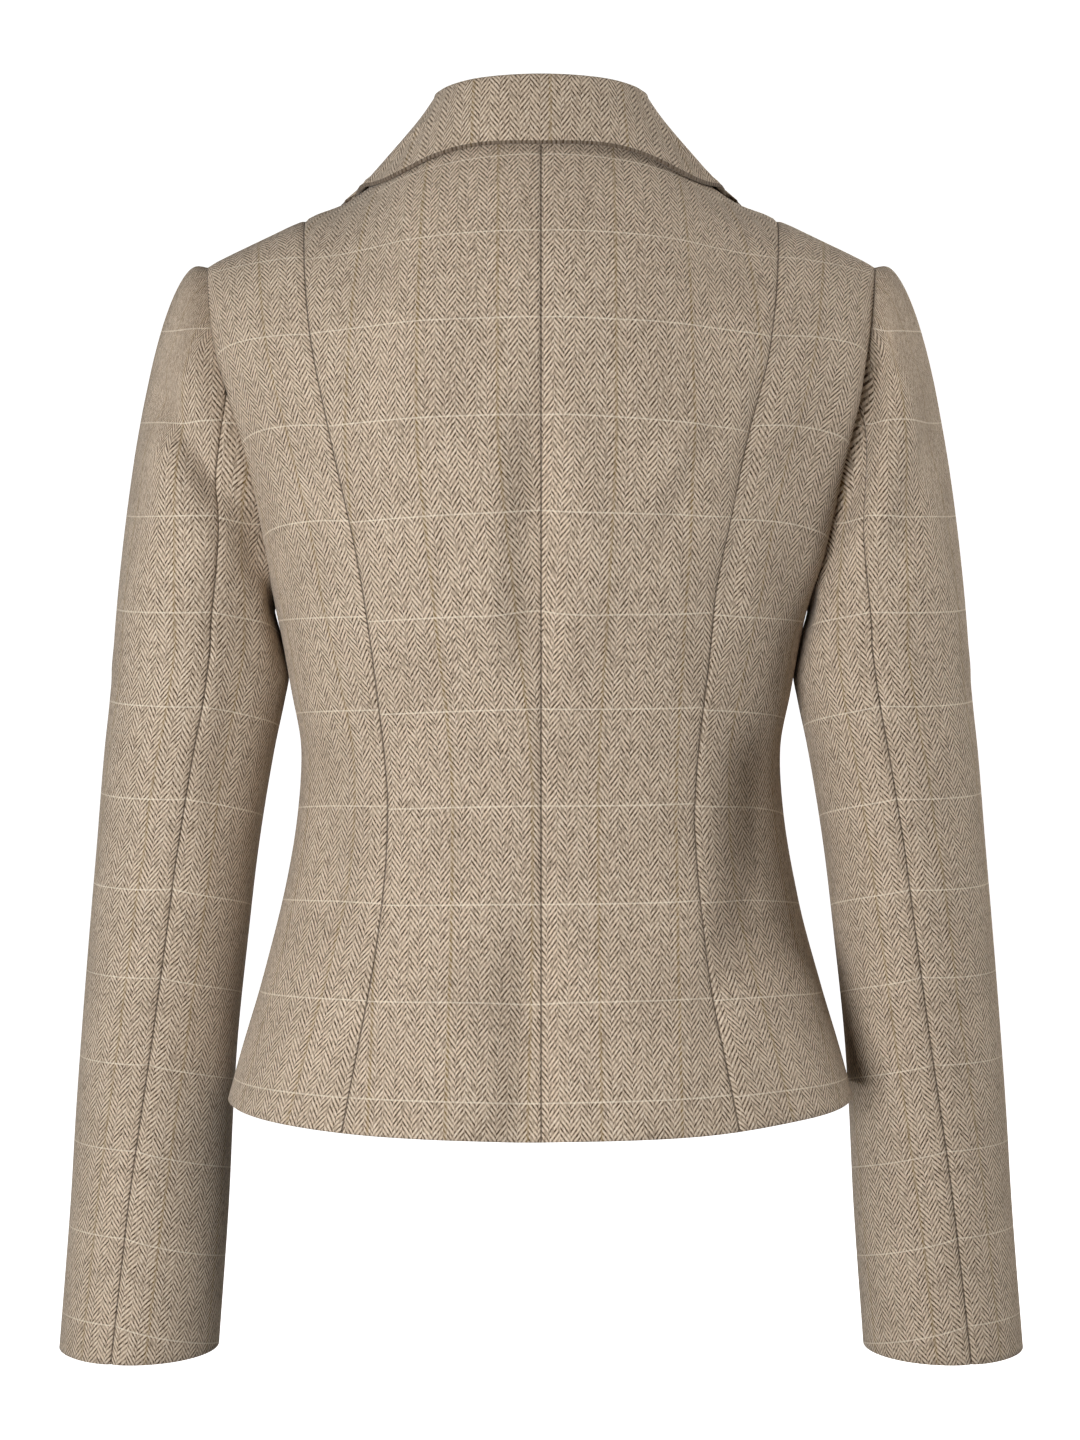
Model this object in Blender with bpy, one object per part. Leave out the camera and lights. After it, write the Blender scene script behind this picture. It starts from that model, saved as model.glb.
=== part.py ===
"""Short tailored jacket, filled out with no wearer, as the cloth pieces a maker cuts and sews.

Metres, +Z up. +X is the wearer's right and +Y the wearer's front. The origin is the mount on the
centre plane, level with the middle of the shoulders.
"""
import math

import bmesh
import bpy
import numpy as np

MM = 0.001

# Cloth and seams, in millimetres
CLOTH_WALL = 2.0
COLLAR_WALL = 2.4
SEAM_GAP = 0.3
LAYER_GAP = 0.5

# Body landmarks, in millimetres
HEM_Z = -496.0
HEM_SIDE_RISE = 4.5
UNDERARM_Z = -215.0
SHOULDER_TIP_Z = -30.5
NECK_POINT_X = 74.0
NECK_POINT_Z = 34.0
NAPE_Z = 34.0
RIDGE_Y = 8.0
RING_ROUNDNESS = 2.3
BACK_TURN = (2.3, 0.435)
FRONT_TURN = (1.6, 0.5)

# The body's rings from the hem up. Depths are the Y of the side, centre back and centre front.
BODY_COLUMNS = ("height", "half_width", "side_y", "back_y", "front_y")
BODY_RINGS = (
    (-498, 174.0, -15, -128, 126),
    (-467, 166.0, -13, -121, 120),
    (-430, 155.5, -10, -112, 113),
    (-386, 145.0, -6, -101, 106),
    (-340, 137.0, -2, -93, 101),
    (-300, 134.4, 0, -92, 101),
    (-264, 139.6, 0, -98, 109),
    (-215, 149.0, 0, -112, 123),
    (-162, 163.0, 0, -123, 125),
    (-110, 179.0, 0, -126, 122),
    (-75, 187.0, 0, -126, 119),
    (-30.5, 191.0, 0, -126, 117),
)

# Height of the shoulder ridge, from the centre (carried on under the collar) to past the tip
RIDGE_COLUMNS = ("across", "height")
RIDGE = (
    (-40, 59),
    (0, 70),
    (40, 59),
    (74, 34),
    (90, 17.5),
    (108, 4.5),
    (127, -2.8),
    (150, -13.5),
    (186.5, -30.5),
    (210, -42),
)

# Armhole: degrees from the side line to its back and front edge, by the share of its height
ARMHOLE_COLUMNS = ("share_up", "back_degrees", "front_degrees")
ARMHOLE = (
    (0.00, 0.0, 0.0),
    (0.06, 7.5, 11.0),
    (0.17, 11.5, 19.0),
    (0.30, 15.5, 23.0),
    (0.50, 17.0, 24.0),
    (0.76, 15.0, 20.0),
    (1.00, 13.7, 13.7),
)

# Back princess seam: distance from the centre back at each height
PRINCESS_COLUMNS = ("height", "across")
PRINCESS = (
    (-498, 107),
    (-450, 98),
    (-403, 89),
    (-332, 83),
    (-255, 89.5),
    (-194, 98),
    (-125, 113),
    (-72, 124),
    (-6, 131),
)

# Front closing, in millimetres
LAP = 18.0
BREAK_Z = -292.0
LAP_EASE = 45.0
GORGE_Z = -25.0
LAPEL_TIP = (124.0, -62.0)
LAPEL_BELLY = 9.0
LAPEL_ROLL = 2.6

# Sleeve rings from the upper arm to the cuff; the seam column is degrees from the outer side
SLEEVE_COLUMNS = ("height", "centre_x", "centre_y", "half_width", "half_depth", "elbow_seam")
SLEEVE_RINGS = (
    (-240, 191.6, 4, 46.8, 63, 106),
    (-258, 190.6, 5, 49.4, 62, 101),
    (-272, 192.4, 6, 48.8, 61, 100.5),
    (-300, 197.0, 7, 47.4, 59, 99.5),
    (-354, 204.3, 12, 45.4, 56, 97),
    (-409, 211.0, 22, 44.8, 54, 94.5),
    (-465, 217.4, 33, 44.4, 52, 91),
    (-508, 221.4, 42, 44.8, 51, 86.5),
    (-565, 225.5, 50, 45.4, 50, 80.5),
    (-650, 233.0, 59, 46.0, 49, 76),
)
FRONT_SEAM = 238.0

# Elbow seam on the cap, where it leaves the armhole and drops almost straight
CAP_SEAM_COLUMNS = ("share_down", "degrees")
CAP_SEAM = (
    (0.0, 82.0),
    (0.1, 88.0),
    (0.2, 93.5),
    (0.4, 102.0),
    (0.7, 108.0),
    (1.0, 106.0),
)
CAP_FULLNESS = 0.38
CAP_FRONT_FULLNESS = 0.20
CAP_DROP = 1.0
CAP_SPREAD = 1.4
UNDERARM_DROP = 0.95

# The back's largest folds, seen from behind: one row for each trough or ridge, with X to the right
# Columns: from_x, from_z, to_x, to_z, half_width, depth. They fade out this far in front of Y = 0.
BACK_FOLD_END = 45.0
BODY_FOLDS = (
    (0, -110, 0, -236, 10, -2.4),
    (-1, -395, -2, -500, 13, -3.6),
    (121, -300, 114, -388, 13, -7.0),
    (-120, -306, -110, -376, 14, -1.6),
    (140, -128, 88, -222, 13, -2.4),
    (112, -88, 58, -156, 14, 2.0),
    (40, -420, 46, -500, 18, 2.0),
    (-52, -420, -60, -500, 19, 1.8),
)

# The sleeves' largest folds, on the side towards the back: one row for each trough or ridge
# Columns: side, from_x, from_z, to_x, to_z, half_width, depth
SLEEVE_FOLDS = (
    (1, 187, -72, 170, -158, 9, -4.0),
    (1, 201, -98, 181, -176, 11, 2.6),
    (1, 214, -120, 190, -205, 10, -2.4),
    (-1, 208, -102, 176, -150, 9, -4.0),
    (-1, 212, -135, 180, -182, 11, 2.6),
    (1, 232, -330, 196, -352, 13, -2.2),
    (-1, 234, -342, 198, -368, 13, -2.2),
)

# Collar sections from the centre back to the front end. The share runs along the back neckline to
# the shoulder at 1 and on down the front edge to the gorge at 2.
COLLAR_COLUMNS = ("share", "stand", "lean", "edge_x", "edge_z")
COLLAR_SECTIONS = (
    (-0.30, 33.0, 6.0, -31, 26.5),
    (0.00, 34.0, 5.0, 0, 27.0),
    (0.30, 33.0, 6.0, 31, 26.5),
    (0.55, 31.0, 10.0, 56, 22.0),
    (0.80, 29.0, 14.5, 82, 12.5),
    (1.00, 27.0, 17.5, 104, 6.5),
    (1.20, 25.0, 16.5, 111, 0.0),
    (1.45, 21.0, 12.0, 115, -9.0),
    (1.70, 15.0, 7.0, 116, -17.0),
    (2.00, 7.0, 1.0, 112, -24.0),
)
COLLAR_LIFT = 3.4
COLLAR_ROLL = 11.0
NECK_FADE_X = 20.0
NECK_FADE_Z = 12.0

# Buttons, in millimetres
BUTTON_HEIGHTS = (-308.0, -394.0)
BUTTON_RADIUS = 10.5
BUTTON_THICK = 4.0
BUTTON_RIM = 1.6

# Grid sizes
BODY_LOW_ROWS = 13
BODY_HIGH_ROWS = 11
CAP_ROWS = 11
SLEEVE_ROWS = 15

CLOTH_COLOUR = (0.45, 0.36, 0.27, 1.0)
BUTTON_COLOUR = (0.13, 0.08, 0.05, 1.0)


def smooth(columns, rows, name):
    """A smooth curve through one column of a table, by the table's first column."""
    order = sorted(rows, key=lambda row: row[0])
    at = np.array([row[0] for row in order], float)
    value = np.array([row[columns.index(name)] for row in order], float)
    step = np.diff(at)
    slope = np.diff(value) / step
    tangent = np.concatenate([slope[:1], (slope[1:] + slope[:-1]) / 2, slope[-1:]])
    for i in range(1, len(at) - 1):
        if slope[i - 1] * slope[i] <= 0:
            tangent[i] = 0.0

    def curve(x):
        i = min(max(int(np.searchsorted(at, x)) - 1, 0), len(step) - 1)
        t = (x - at[i]) / step[i]
        if t < 0 or t > 1:
            end = 0 if t < 0 else -1
            return value[end] + tangent[end] * (x - at[end])
        start = value[i] * (1 + 2 * t) + step[i] * tangent[i] * t
        stop = value[i + 1] * (3 - 2 * t) - step[i] * tangent[i + 1] * (1 - t)
        return start * (1 - t) ** 2 + stop * t ** 2

    return curve


half_width_at = smooth(BODY_COLUMNS, BODY_RINGS, "half_width")
side_y_at = smooth(BODY_COLUMNS, BODY_RINGS, "side_y")
back_y_at = smooth(BODY_COLUMNS, BODY_RINGS, "back_y")
front_y_at = smooth(BODY_COLUMNS, BODY_RINGS, "front_y")
ridge_at = smooth(RIDGE_COLUMNS, RIDGE, "height")
armhole_back_at = smooth(ARMHOLE_COLUMNS, ARMHOLE, "back_degrees")
armhole_front_at = smooth(ARMHOLE_COLUMNS, ARMHOLE, "front_degrees")
cap_seam_at = smooth(CAP_SEAM_COLUMNS, CAP_SEAM, "degrees")
princess_at = smooth(PRINCESS_COLUMNS, PRINCESS, "across")
sleeve_at = {name: smooth(SLEEVE_COLUMNS, SLEEVE_RINGS, name) for name in SLEEVE_COLUMNS[1:]}
collar_at = {name: smooth(COLLAR_COLUMNS, COLLAR_SECTIONS, name) for name in COLLAR_COLUMNS[1:]}


def unit(vector):
    """The vector at length one."""
    return vector / max(np.linalg.norm(vector), 1e-12)


def ease(share):
    """A soft step from 0 to 1."""
    share = min(max(share, 0.0), 1.0)
    return share * share * (3 - 2 * share)


def hermite(start, leave, stop, arrive, t):
    """A cubic from start to stop with the given end directions."""
    return (start * (1 + 2 * t) * (1 - t) ** 2 + leave * t * (1 - t) ** 2
            + stop * t * t * (3 - 2 * t) - arrive * t * t * (1 - t))


def fold_shift(point, folds):
    """How far troughs and ridges, each from one place to another in X and Z, move a point out or in."""
    moved = 0.0
    for from_x, from_z, to_x, to_z, half_width, depth in folds:
        start = np.array([from_x, from_z])
        along = np.array([to_x, to_z]) - start
        share = np.dot(point[[0, 2]] - start, along) / np.dot(along, along)
        away = np.linalg.norm(point[[0, 2]] - start - along * share)
        ends = ease((share + 0.35) / 0.5) * ease((1.35 - share) / 0.5)
        moved += depth * ends * math.exp(-(away / half_width) ** 2)
    return moved


# The body's surface. Level 0 is the hem, 1 the underarm and 2 the shoulder ridge.

def ring_height(level):
    """Height of the ring that gives the body its width and depth at a level."""
    if level <= 1:
        return HEM_Z + level * (UNDERARM_Z - HEM_Z)
    return UNDERARM_Z + (level - 1) * (SHOULDER_TIP_Z - UNDERARM_Z)


def body_point(angle, level):
    """A point on the outside of the body: 0 degrees is centre back, 90 the side, 180 the front."""
    height = ring_height(level)
    turn = math.radians(angle)
    bend = 2 / RING_ROUNDNESS
    x = math.copysign(abs(math.sin(turn)) ** bend, math.sin(turn)) * half_width_at(height)
    at_back = math.cos(turn) > 0
    side = side_y_at(height)
    reach = (back_y_at(height) if at_back else front_y_at(height)) - side
    y = side + reach * abs(math.cos(turn)) ** bend
    height += HEM_SIDE_RISE * math.sin(turn) ** 2 * max(1 - level / 0.6, 0.0) ** 2
    if level > 1:
        rise = min(level - 1, 1.0)
        power, root = BACK_TURN if at_back else FRONT_TURN
        y = RIDGE_Y + (y - RIDGE_Y) * (1 - rise ** power) ** root
        height = UNDERARM_Z + rise * (ridge_at(abs(x)) - UNDERARM_Z)
    return np.array([x, y, height])


def body_normal(angle, level):
    """The direction out of the body; on the shoulder ridge it has no part along Y."""
    low, high = max(level - 0.004, 0.0), min(level + 0.004, 2.0)
    around = body_point(angle + 0.4, level) - body_point(angle - 0.4, level)
    up = body_point(angle, high) - body_point(angle, low)
    if level > 1.999:
        around = body_point(angle + 0.4, 2.0) - body_point(angle - 0.4, 2.0)
        return unit(np.array([-around[2], 0.0, around[0]]) * math.copysign(1, around[0]))
    return unit(np.cross(around, up))


def level_at(x, z):
    """The level of the body's surface at a place across and a height."""
    if z <= UNDERARM_Z:
        return (z - HEM_Z) / (UNDERARM_Z - HEM_Z)
    return 1 + min((z - UNDERARM_Z) / (ridge_at(abs(x)) - UNDERARM_Z), 1.0)


def angle_at(x, level, front):
    """The angle of the body's surface at a place across, on the back or on the front."""
    share = min(abs(x) / half_width_at(ring_height(level)), 1.0)
    turn = math.degrees(math.asin(share ** (RING_ROUNDNESS / 2)))
    if x < 0:
        turn = -turn
    return 180 - turn if front else turn


def on_body(x, z, front, lift):
    """A point over the body's surface, moved out by a lift."""
    level = level_at(x, z)
    angle = angle_at(x, level, front)
    return body_point(angle, level) + lift * body_normal(angle, level)


def clear_of_body(point, lift):
    """The point, moved out where it is nearer to the body's cloth than the lift; none is in the neck."""
    level = level_at(point[0], point[2])
    angle = angle_at(point[0], level, point[1] > RIDGE_Y)
    normal = body_normal(angle, level)
    stands = np.dot(point - body_point(angle, level), normal)
    beside_neck = ease((abs(point[0]) - NECK_POINT_X + NECK_FADE_X) / NECK_FADE_X)
    below_neck = ease((NAPE_Z + NECK_FADE_Z - point[2]) / NECK_FADE_Z)
    return point + normal * max(lift - stands, 0.0) * max(beside_neck, below_neck)


def body_levels(top):
    """Levels of the rows up one line of the body, closer together towards the shoulder."""
    low = [row / BODY_LOW_ROWS for row in range(BODY_LOW_ROWS)]
    high = [1 + (top - 1) * (1 - (1 - row / BODY_HIGH_ROWS) ** 1.7) for row in range(BODY_HIGH_ROWS + 1)]
    return low + high


def side_angle(level, front):
    """The angle of the side seam and, above the underarm, of the armhole's edge."""
    if level <= 1:
        return 90.0
    rise = level - 1
    return 90 + armhole_front_at(rise) if front else 90 - armhole_back_at(rise)


def princess_x(level):
    """Distance of the princess seam from the centre back at a level."""
    x = princess_at(ring_height(level))
    for _ in range(8):
        x = princess_at(body_point(angle_at(x, level, False), level)[2])
    return x


def break_x(z):
    """The front edge: straight above the hem, then the lapel's fold line up to the neck point."""
    share = (z - BREAK_Z) / (NECK_POINT_Z - BREAK_Z)
    return -LAP + max(share, 0.0) * (NECK_POINT_X + LAP)


def front_edge_x(level):
    """The front edge's distance from the centre at a level."""
    x = NECK_POINT_X
    for _ in range(30):
        x = 0.5 * x + 0.5 * break_x(body_point(angle_at(x, level, True), level)[2])
    return NECK_POINT_X if level > 1.999 else x


# Cloth walls

def pull_edges(grid, seams):
    """Move the seam edges of a grid in by half of the seam gap."""
    lines = {"left": (grid[:, 0], grid[:, 1]), "right": (grid[:, -1], grid[:, -2]),
             "bottom": (grid[0], grid[1]), "top": (grid[-1], grid[-2])}
    for name in seams:
        edge, beside = lines[name]
        for i in range(len(edge)):
            edge[i] += unit(beside[i] - edge[i]) * SEAM_GAP / 2


def material(name, colour, roughness):
    """A plain Principled material of its own for one piece."""
    made = bpy.data.materials.new(name)
    made.use_nodes = True
    shader = made.node_tree.nodes["Principled BSDF"]
    shader.inputs["Base Color"].default_value = colour
    shader.inputs["Roughness"].default_value = roughness
    made.diffuse_color = colour
    return made


def finish(name, shape, colour, roughness):
    """Put a finished mesh into the jacket's collection as one named piece."""
    mesh = bpy.data.meshes.new(name)
    bmesh.ops.recalc_face_normals(shape, faces=shape.faces)
    shape.to_mesh(mesh)
    shape.free()
    piece = bpy.data.objects.new(name, mesh)
    piece.data.materials.append(material(name, colour, roughness))
    jacket.objects.link(piece)
    return piece


def cloth_wall(name, outside, normals, wall, mirrored):
    """One cloth piece: an outside grid, an inside grid moved in by the wall, and the rim."""
    flip = np.array([-1.0, 1.0, 1.0]) if mirrored else np.ones(3)
    inside = outside - wall * normals
    rows, columns = outside.shape[:2]
    shape = bmesh.new()
    skins = []
    for grid in (outside, inside):
        skins.append([[shape.verts.new(grid[j, i] * flip * MM) for i in range(columns)] for j in range(rows)])
    for skin in skins:
        for j in range(rows - 1):
            for i in range(columns - 1):
                shape.faces.new((skin[j][i], skin[j][i + 1], skin[j + 1][i + 1], skin[j + 1][i]))
    outer, inner = skins
    rim = [(0, i) for i in range(columns - 1)] + [(j, columns - 1) for j in range(rows - 1)]
    rim += [(rows - 1, i) for i in range(columns - 1, 0, -1)] + [(j, 0) for j in range(rows - 1, 0, -1)]
    for (j, i), (k, m) in zip(rim, rim[1:] + rim[:1]):
        shape.faces.new((outer[j][i], outer[k][m], inner[k][m], inner[j][i]))
    bmesh.ops.triangulate(shape, faces=shape.faces)
    return finish(name, shape, CLOTH_COLOUR, 0.9)


def body_panel(name, places, seams, mirrored, lift):
    """A panel of the body from a grid of angles and levels, moved out by a lift at each point."""
    outside = np.array([[body_point(*place) for place in row] for row in places])
    normals = np.array([[body_normal(*place) for place in row] for row in places])
    side = np.array([-1.0, 1.0, 1.0]) if mirrored else np.ones(3)
    outside += normals * np.array([[[lift(point * side)] for point in row] for row in outside])
    pull_edges(outside, seams)
    return cloth_wall(name, outside, normals, CLOTH_WALL, mirrored)


# Back, from the centre back seam to the princess seam

def back_fold(point):
    """How far the back's folds move a point; they end before the side seams."""
    reach = -point[1] / BACK_FOLD_END
    return fold_shift(point, BODY_FOLDS) * ease(reach)


def neckline_top(x):
    """The level of the back panel's upper edge: the neckline, then the shoulder seam."""
    if x >= NECK_POINT_X:
        return 2.0
    rise = (NECK_POINT_Z - NAPE_Z) * x / NECK_POINT_X + NAPE_Z
    return level_at(x, rise)


def back_places():
    """Angles and levels of the back panel."""
    neck_share = NECK_POINT_X / princess_x(2.0)
    shares = [neck_share * i / 5 for i in range(5)]
    shares += [neck_share + (1 - neck_share) * i / 3 for i in range(4)]
    rows = []
    tops = [body_levels(neckline_top(share * princess_x(2.0))) for share in shares]
    for j in range(len(tops[0])):
        levels = [top[j] for top in tops]
        places = zip(shares, levels)
        rows.append([(angle_at(share * princess_x(level), level, False), level) for share, level in places])
    return rows


# Side back, from the princess seam to the side seam and armhole

def side_back_places():
    """Angles and levels of the side back panel."""
    rows = []
    for level in body_levels(2.0):
        start = angle_at(princess_x(level), level, False)
        stop = side_angle(level, False)
        rows.append([(start + (stop - start) * i / 6, level) for i in range(7)])
    return rows


# Front, from the side seam and armhole to the front edge

def front_places():
    """Angles and levels of a front."""
    rows = []
    for level in body_levels(2.0):
        start = side_angle(level, True)
        stop = angle_at(front_edge_x(level), level, True)
        rows.append([(start + (stop - start) * i / 11, level) for i in range(12)])
    return rows


def over_lift(x):
    """How far the upper front stands out where it laps over the lower one."""
    return (CLOTH_WALL + LAYER_GAP) * (1 - ease((x - LAP - 2) / LAP_EASE))


def front_lift(point):
    """The lap's lift on the right front; the left front lies under it."""
    return over_lift(point[0])


def no_lift(point):
    """A panel that lies on the body's surface."""
    return 0.0


# Lapels, made from points of the fronts moved out

def lapel_outer(share):
    """The lapel's free edge from the break point at 0 to the tip at 1."""
    foot = np.array([-LAP, BREAK_Z])
    along = np.array(LAPEL_TIP) - foot
    out = unit(np.array([-along[1], along[0]])) * -LAPEL_BELLY
    return foot + along * share + out * math.sin(math.pi * share)


def lapel(name, mirrored):
    """A lapel lying on its front. The lower one starts where it comes out from under the upper."""
    lap_lift = over_lift if not mirrored else lambda x: 0.0
    rows = []
    normals = []
    first = 0.03 if not mirrored else 0.26
    for j in range(15):
        share = first + (1 - first) * j / 14
        outer = lapel_outer(share)
        z = BREAK_Z + (GORGE_Z - BREAK_Z) * share
        fold = np.array([break_x(z), z])
        if mirrored:
            fold[0] = max(fold[0], 2.0 - break_x(z) + LAPEL_ROLL)
        row, row_normals = [], []
        for i in range(7):
            across = i / 6
            x, height = fold + (outer - fold) * across
            lift = COLLAR_WALL + 2 * LAYER_GAP + LAPEL_ROLL * (1 - across) ** 2
            row.append(on_body(x, height, True, lift + lap_lift(x)))
            level = level_at(x, height)
            row_normals.append(body_normal(angle_at(x, level, True), level))
        rows.append(row)
        normals.append(row_normals)
    outside = np.array(rows)
    pull_edges(outside, ["top"])
    return cloth_wall(name, outside, np.array(normals), COLLAR_WALL, mirrored)


# Collar: one wall from the neck seam up the stand, over the roll and down the fall

def neck_seam(share):
    """A point of the neck seam by the collar's share: back neckline, then the front edge."""
    if share <= 1:
        x = NECK_POINT_X * math.sin(share * math.pi / 2)
        level = neckline_top(x)
        return body_point(angle_at(x, level, False), level)
    z = NECK_POINT_Z + (GORGE_Z - NECK_POINT_Z) * (share - 1)
    x = break_x(z)
    return body_point(angle_at(x, level_at(x, z), True), level_at(x, z))


def collar_section(share):
    """The visible line of the collar across one section, from the neck seam to the free edge."""
    side = math.copysign(1, share)
    share = abs(share)
    seam = neck_seam(share)
    outward = unit(np.array([seam[0], (seam[1] - RIDGE_Y) * (1.0 if share <= 1 else 0.6), 0.0]))
    stand = collar_at["stand"](share)
    foot = seam + np.array([0, 0, 1.2]) - outward
    roll = seam + np.array([0, 0, stand]) - outward * collar_at["lean"](share)
    edge_x, edge_z = collar_at["edge_x"](share), collar_at["edge_z"](share)
    edge = on_body(edge_x, edge_z, share > 1, COLLAR_LIFT)
    over = outward * COLLAR_ROLL
    line = [hermite(foot, np.array([0, 0, stand]), roll, over, t) for t in (0, 0.35, 0.7, 0.88)]
    if share > 1.4:
        line = [clear_of_body(point, COLLAR_LIFT) for point in line]
    fall = [hermite(roll, over * 1.3, edge, edge - roll, t) for t in (0, 0.12, 0.28, 0.46, 0.64, 0.82, 1.0)]
    line += [clear_of_body(point, COLLAR_LIFT) for point in fall]
    return np.array(line) * np.array([side, 1, 1])


def collar():
    """The collar as one piece from end to end."""
    shares = [-2 + 4 * i / 44 for i in range(45)]
    outside = np.array([collar_section(share) for share in shares])
    normals = np.zeros_like(outside)
    along = np.gradient(outside, axis=0)
    across = np.gradient(outside, axis=1)
    for j in range(len(outside)):
        for i in range(outside.shape[1]):
            normals[j, i] = unit(np.cross(along[j, i], across[j, i]))
    if normals[len(outside) // 2, -1][1] > 0:
        normals = -normals
    return cloth_wall("collar", outside, normals, COLLAR_WALL, False)


# Sleeves

def armhole_point(turn):
    """The sleeve's seam on the body: 0 degrees is the shoulder tip, 90 the back, 180 underarm."""
    rise = (1 + math.cos(math.radians(turn))) / 2
    level = 1 + rise
    angle = side_angle(level, math.sin(math.radians(turn)) < 0)
    return body_point(angle, level) + (CLOTH_WALL + SEAM_GAP) * body_normal(angle, level)


def sleeve_ring(turn, height):
    """A point of the sleeve below the cap, round from the outer side by the back."""
    swing = math.radians(turn)
    x = sleeve_at["centre_x"](height) + sleeve_at["half_width"](height) * math.cos(swing)
    y = sleeve_at["centre_y"](height) - sleeve_at["half_depth"](height) * math.sin(swing)
    return np.array([x, y, height])


def sleeve_fold(point, side):
    """How far one sleeve's folds move a point of its back half out or in."""
    return fold_shift(point, [row[1:] for row in SLEEVE_FOLDS if row[0] == side])


def sleeve_point(turn, length):
    """A point of the sleeve: length 0 to 1 is the cap, 1 to 2 the arm down to the cuff."""
    top = SLEEVE_RINGS[0][0]
    if length >= 1:
        return sleeve_ring(turn, top + (length - 1) * (SLEEVE_RINGS[-1][0] - top))
    start, stop = armhole_point(turn), sleeve_ring(turn, top)
    swing = math.radians(turn)
    out = 1 - UNDERARM_DROP * ease(-math.cos(swing))
    leave = unit(np.array([out, -CAP_SPREAD * math.sin(swing), 0.1 - 0.55 * (1 - math.cos(swing))]))
    down = unit(sleeve_ring(turn, top - 20) - stop)
    reach = np.linalg.norm(stop - start)
    fullness = CAP_FULLNESS + CAP_FRONT_FULLNESS * ease(-math.sin(swing))
    return hermite(start, leave * reach * fullness, stop, down * reach * CAP_DROP, length)


def sleeve_normal(turn, length):
    """The direction out of the sleeve."""
    around = sleeve_point(turn + 0.8, length) - sleeve_point(turn - 0.8, length)
    low, high = max(length - 0.006, 0.0), min(length + 0.006, 2.0)
    down = sleeve_point(turn, high) - sleeve_point(turn, low)
    return unit(np.cross(around, down))


def elbow_seam(length):
    """Degrees of the elbow seam at a length of the sleeve."""
    top = SLEEVE_RINGS[0][0]
    if length >= 1:
        return sleeve_at["elbow_seam"](top + (length - 1) * (SLEEVE_RINGS[-1][0] - top))
    return cap_seam_at(length)


def elbow_seam_from_front(length):
    """Degrees of the elbow seam, reached by way of the outer side."""
    return elbow_seam(length) + 360


def front_seam(length):
    """Degrees of the front seam, the same at every length."""
    return FRONT_SEAM


def sleeve_panel(name, side, start_at, stop_at, columns):
    """A sleeve piece between two seams."""
    lengths = [row / CAP_ROWS for row in range(CAP_ROWS)]
    lengths += [1 + row / SLEEVE_ROWS for row in range(SLEEVE_ROWS + 1)]
    outside, normals = [], []
    for length in lengths:
        start, stop = start_at(length), stop_at(length)
        turns = [start + (stop - start) * i / columns for i in range(columns + 1)]
        row_normals = [sleeve_normal(turn, length) for turn in turns]
        row = [sleeve_point(turn, length) for turn in turns]
        row = [point + normal * sleeve_fold(point, side) * ease(4 * length) * ease(2 * -normal[1])
               for point, normal in zip(row, row_normals)]
        outside.append(row)
        normals.append(row_normals)
    outside = np.array(outside)
    pull_edges(outside, ["left", "right"])
    return cloth_wall(name, outside, np.array(normals), CLOTH_WALL, side < 0)


# Buttons, turned about an axis out of the front

def button(name, height):
    """A plain button on the upper front, at the centre front."""
    level = level_at(0.0, height)
    place = on_body(0.0, height, True, over_lift(0.0) + LAYER_GAP)
    facing = body_normal(180.0, level)
    profile = ((0, 0), (BUTTON_RADIUS * 0.8, 0), (BUTTON_RADIUS, BUTTON_THICK * 0.5),
               (BUTTON_RADIUS * 0.93, BUTTON_THICK), (BUTTON_RADIUS * 0.75, BUTTON_THICK),
               (BUTTON_RADIUS * 0.62, BUTTON_THICK - BUTTON_RIM), (0, BUTTON_THICK - BUTTON_RIM))
    shape = bmesh.new()
    verts = [shape.verts.new((radius * MM, 0, up * MM)) for radius, up in profile]
    edges = [shape.edges.new(pair) for pair in zip(verts, verts[1:])]
    bmesh.ops.spin(shape, geom=verts + edges, axis=(0, 0, 1), cent=(0, 0, 0), steps=28, angle=2 * math.pi)
    bmesh.ops.remove_doubles(shape, verts=shape.verts, dist=0.00005)
    piece = finish(name, shape, BUTTON_COLOUR, 0.35)
    tilt = math.atan2(facing[2], facing[1])
    piece.location = place * MM
    piece.rotation_euler = (tilt - math.pi / 2, 0, 0)
    return piece


for old in list(bpy.data.objects):
    bpy.data.objects.remove(old)
jacket = bpy.data.collections.new("short_jacket")
bpy.context.scene.collection.children.link(jacket)

for word, mirrored in (("right", False), ("left", True)):
    body_panel(f"back_{word}", back_places(), ["left", "right", "top"], mirrored, back_fold)
    body_panel(f"side_back_{word}", side_back_places(), ["left", "right", "top"], mirrored, back_fold)
    lap = no_lift if mirrored else front_lift
    body_panel(f"front_{word}", front_places(), ["left", "top"], mirrored, lap)
    lapel(f"lapel_{word}", mirrored)
    side = -1 if mirrored else 1
    sleeve_panel(f"sleeve_under_{word}", side, elbow_seam, front_seam, 9)
    sleeve_panel(f"sleeve_top_{word}", side, front_seam, elbow_seam_from_front, 14)
collar()
for number, height in enumerate(BUTTON_HEIGHTS):
    button(f"button_{number + 1}", height)
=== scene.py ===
import math

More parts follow.
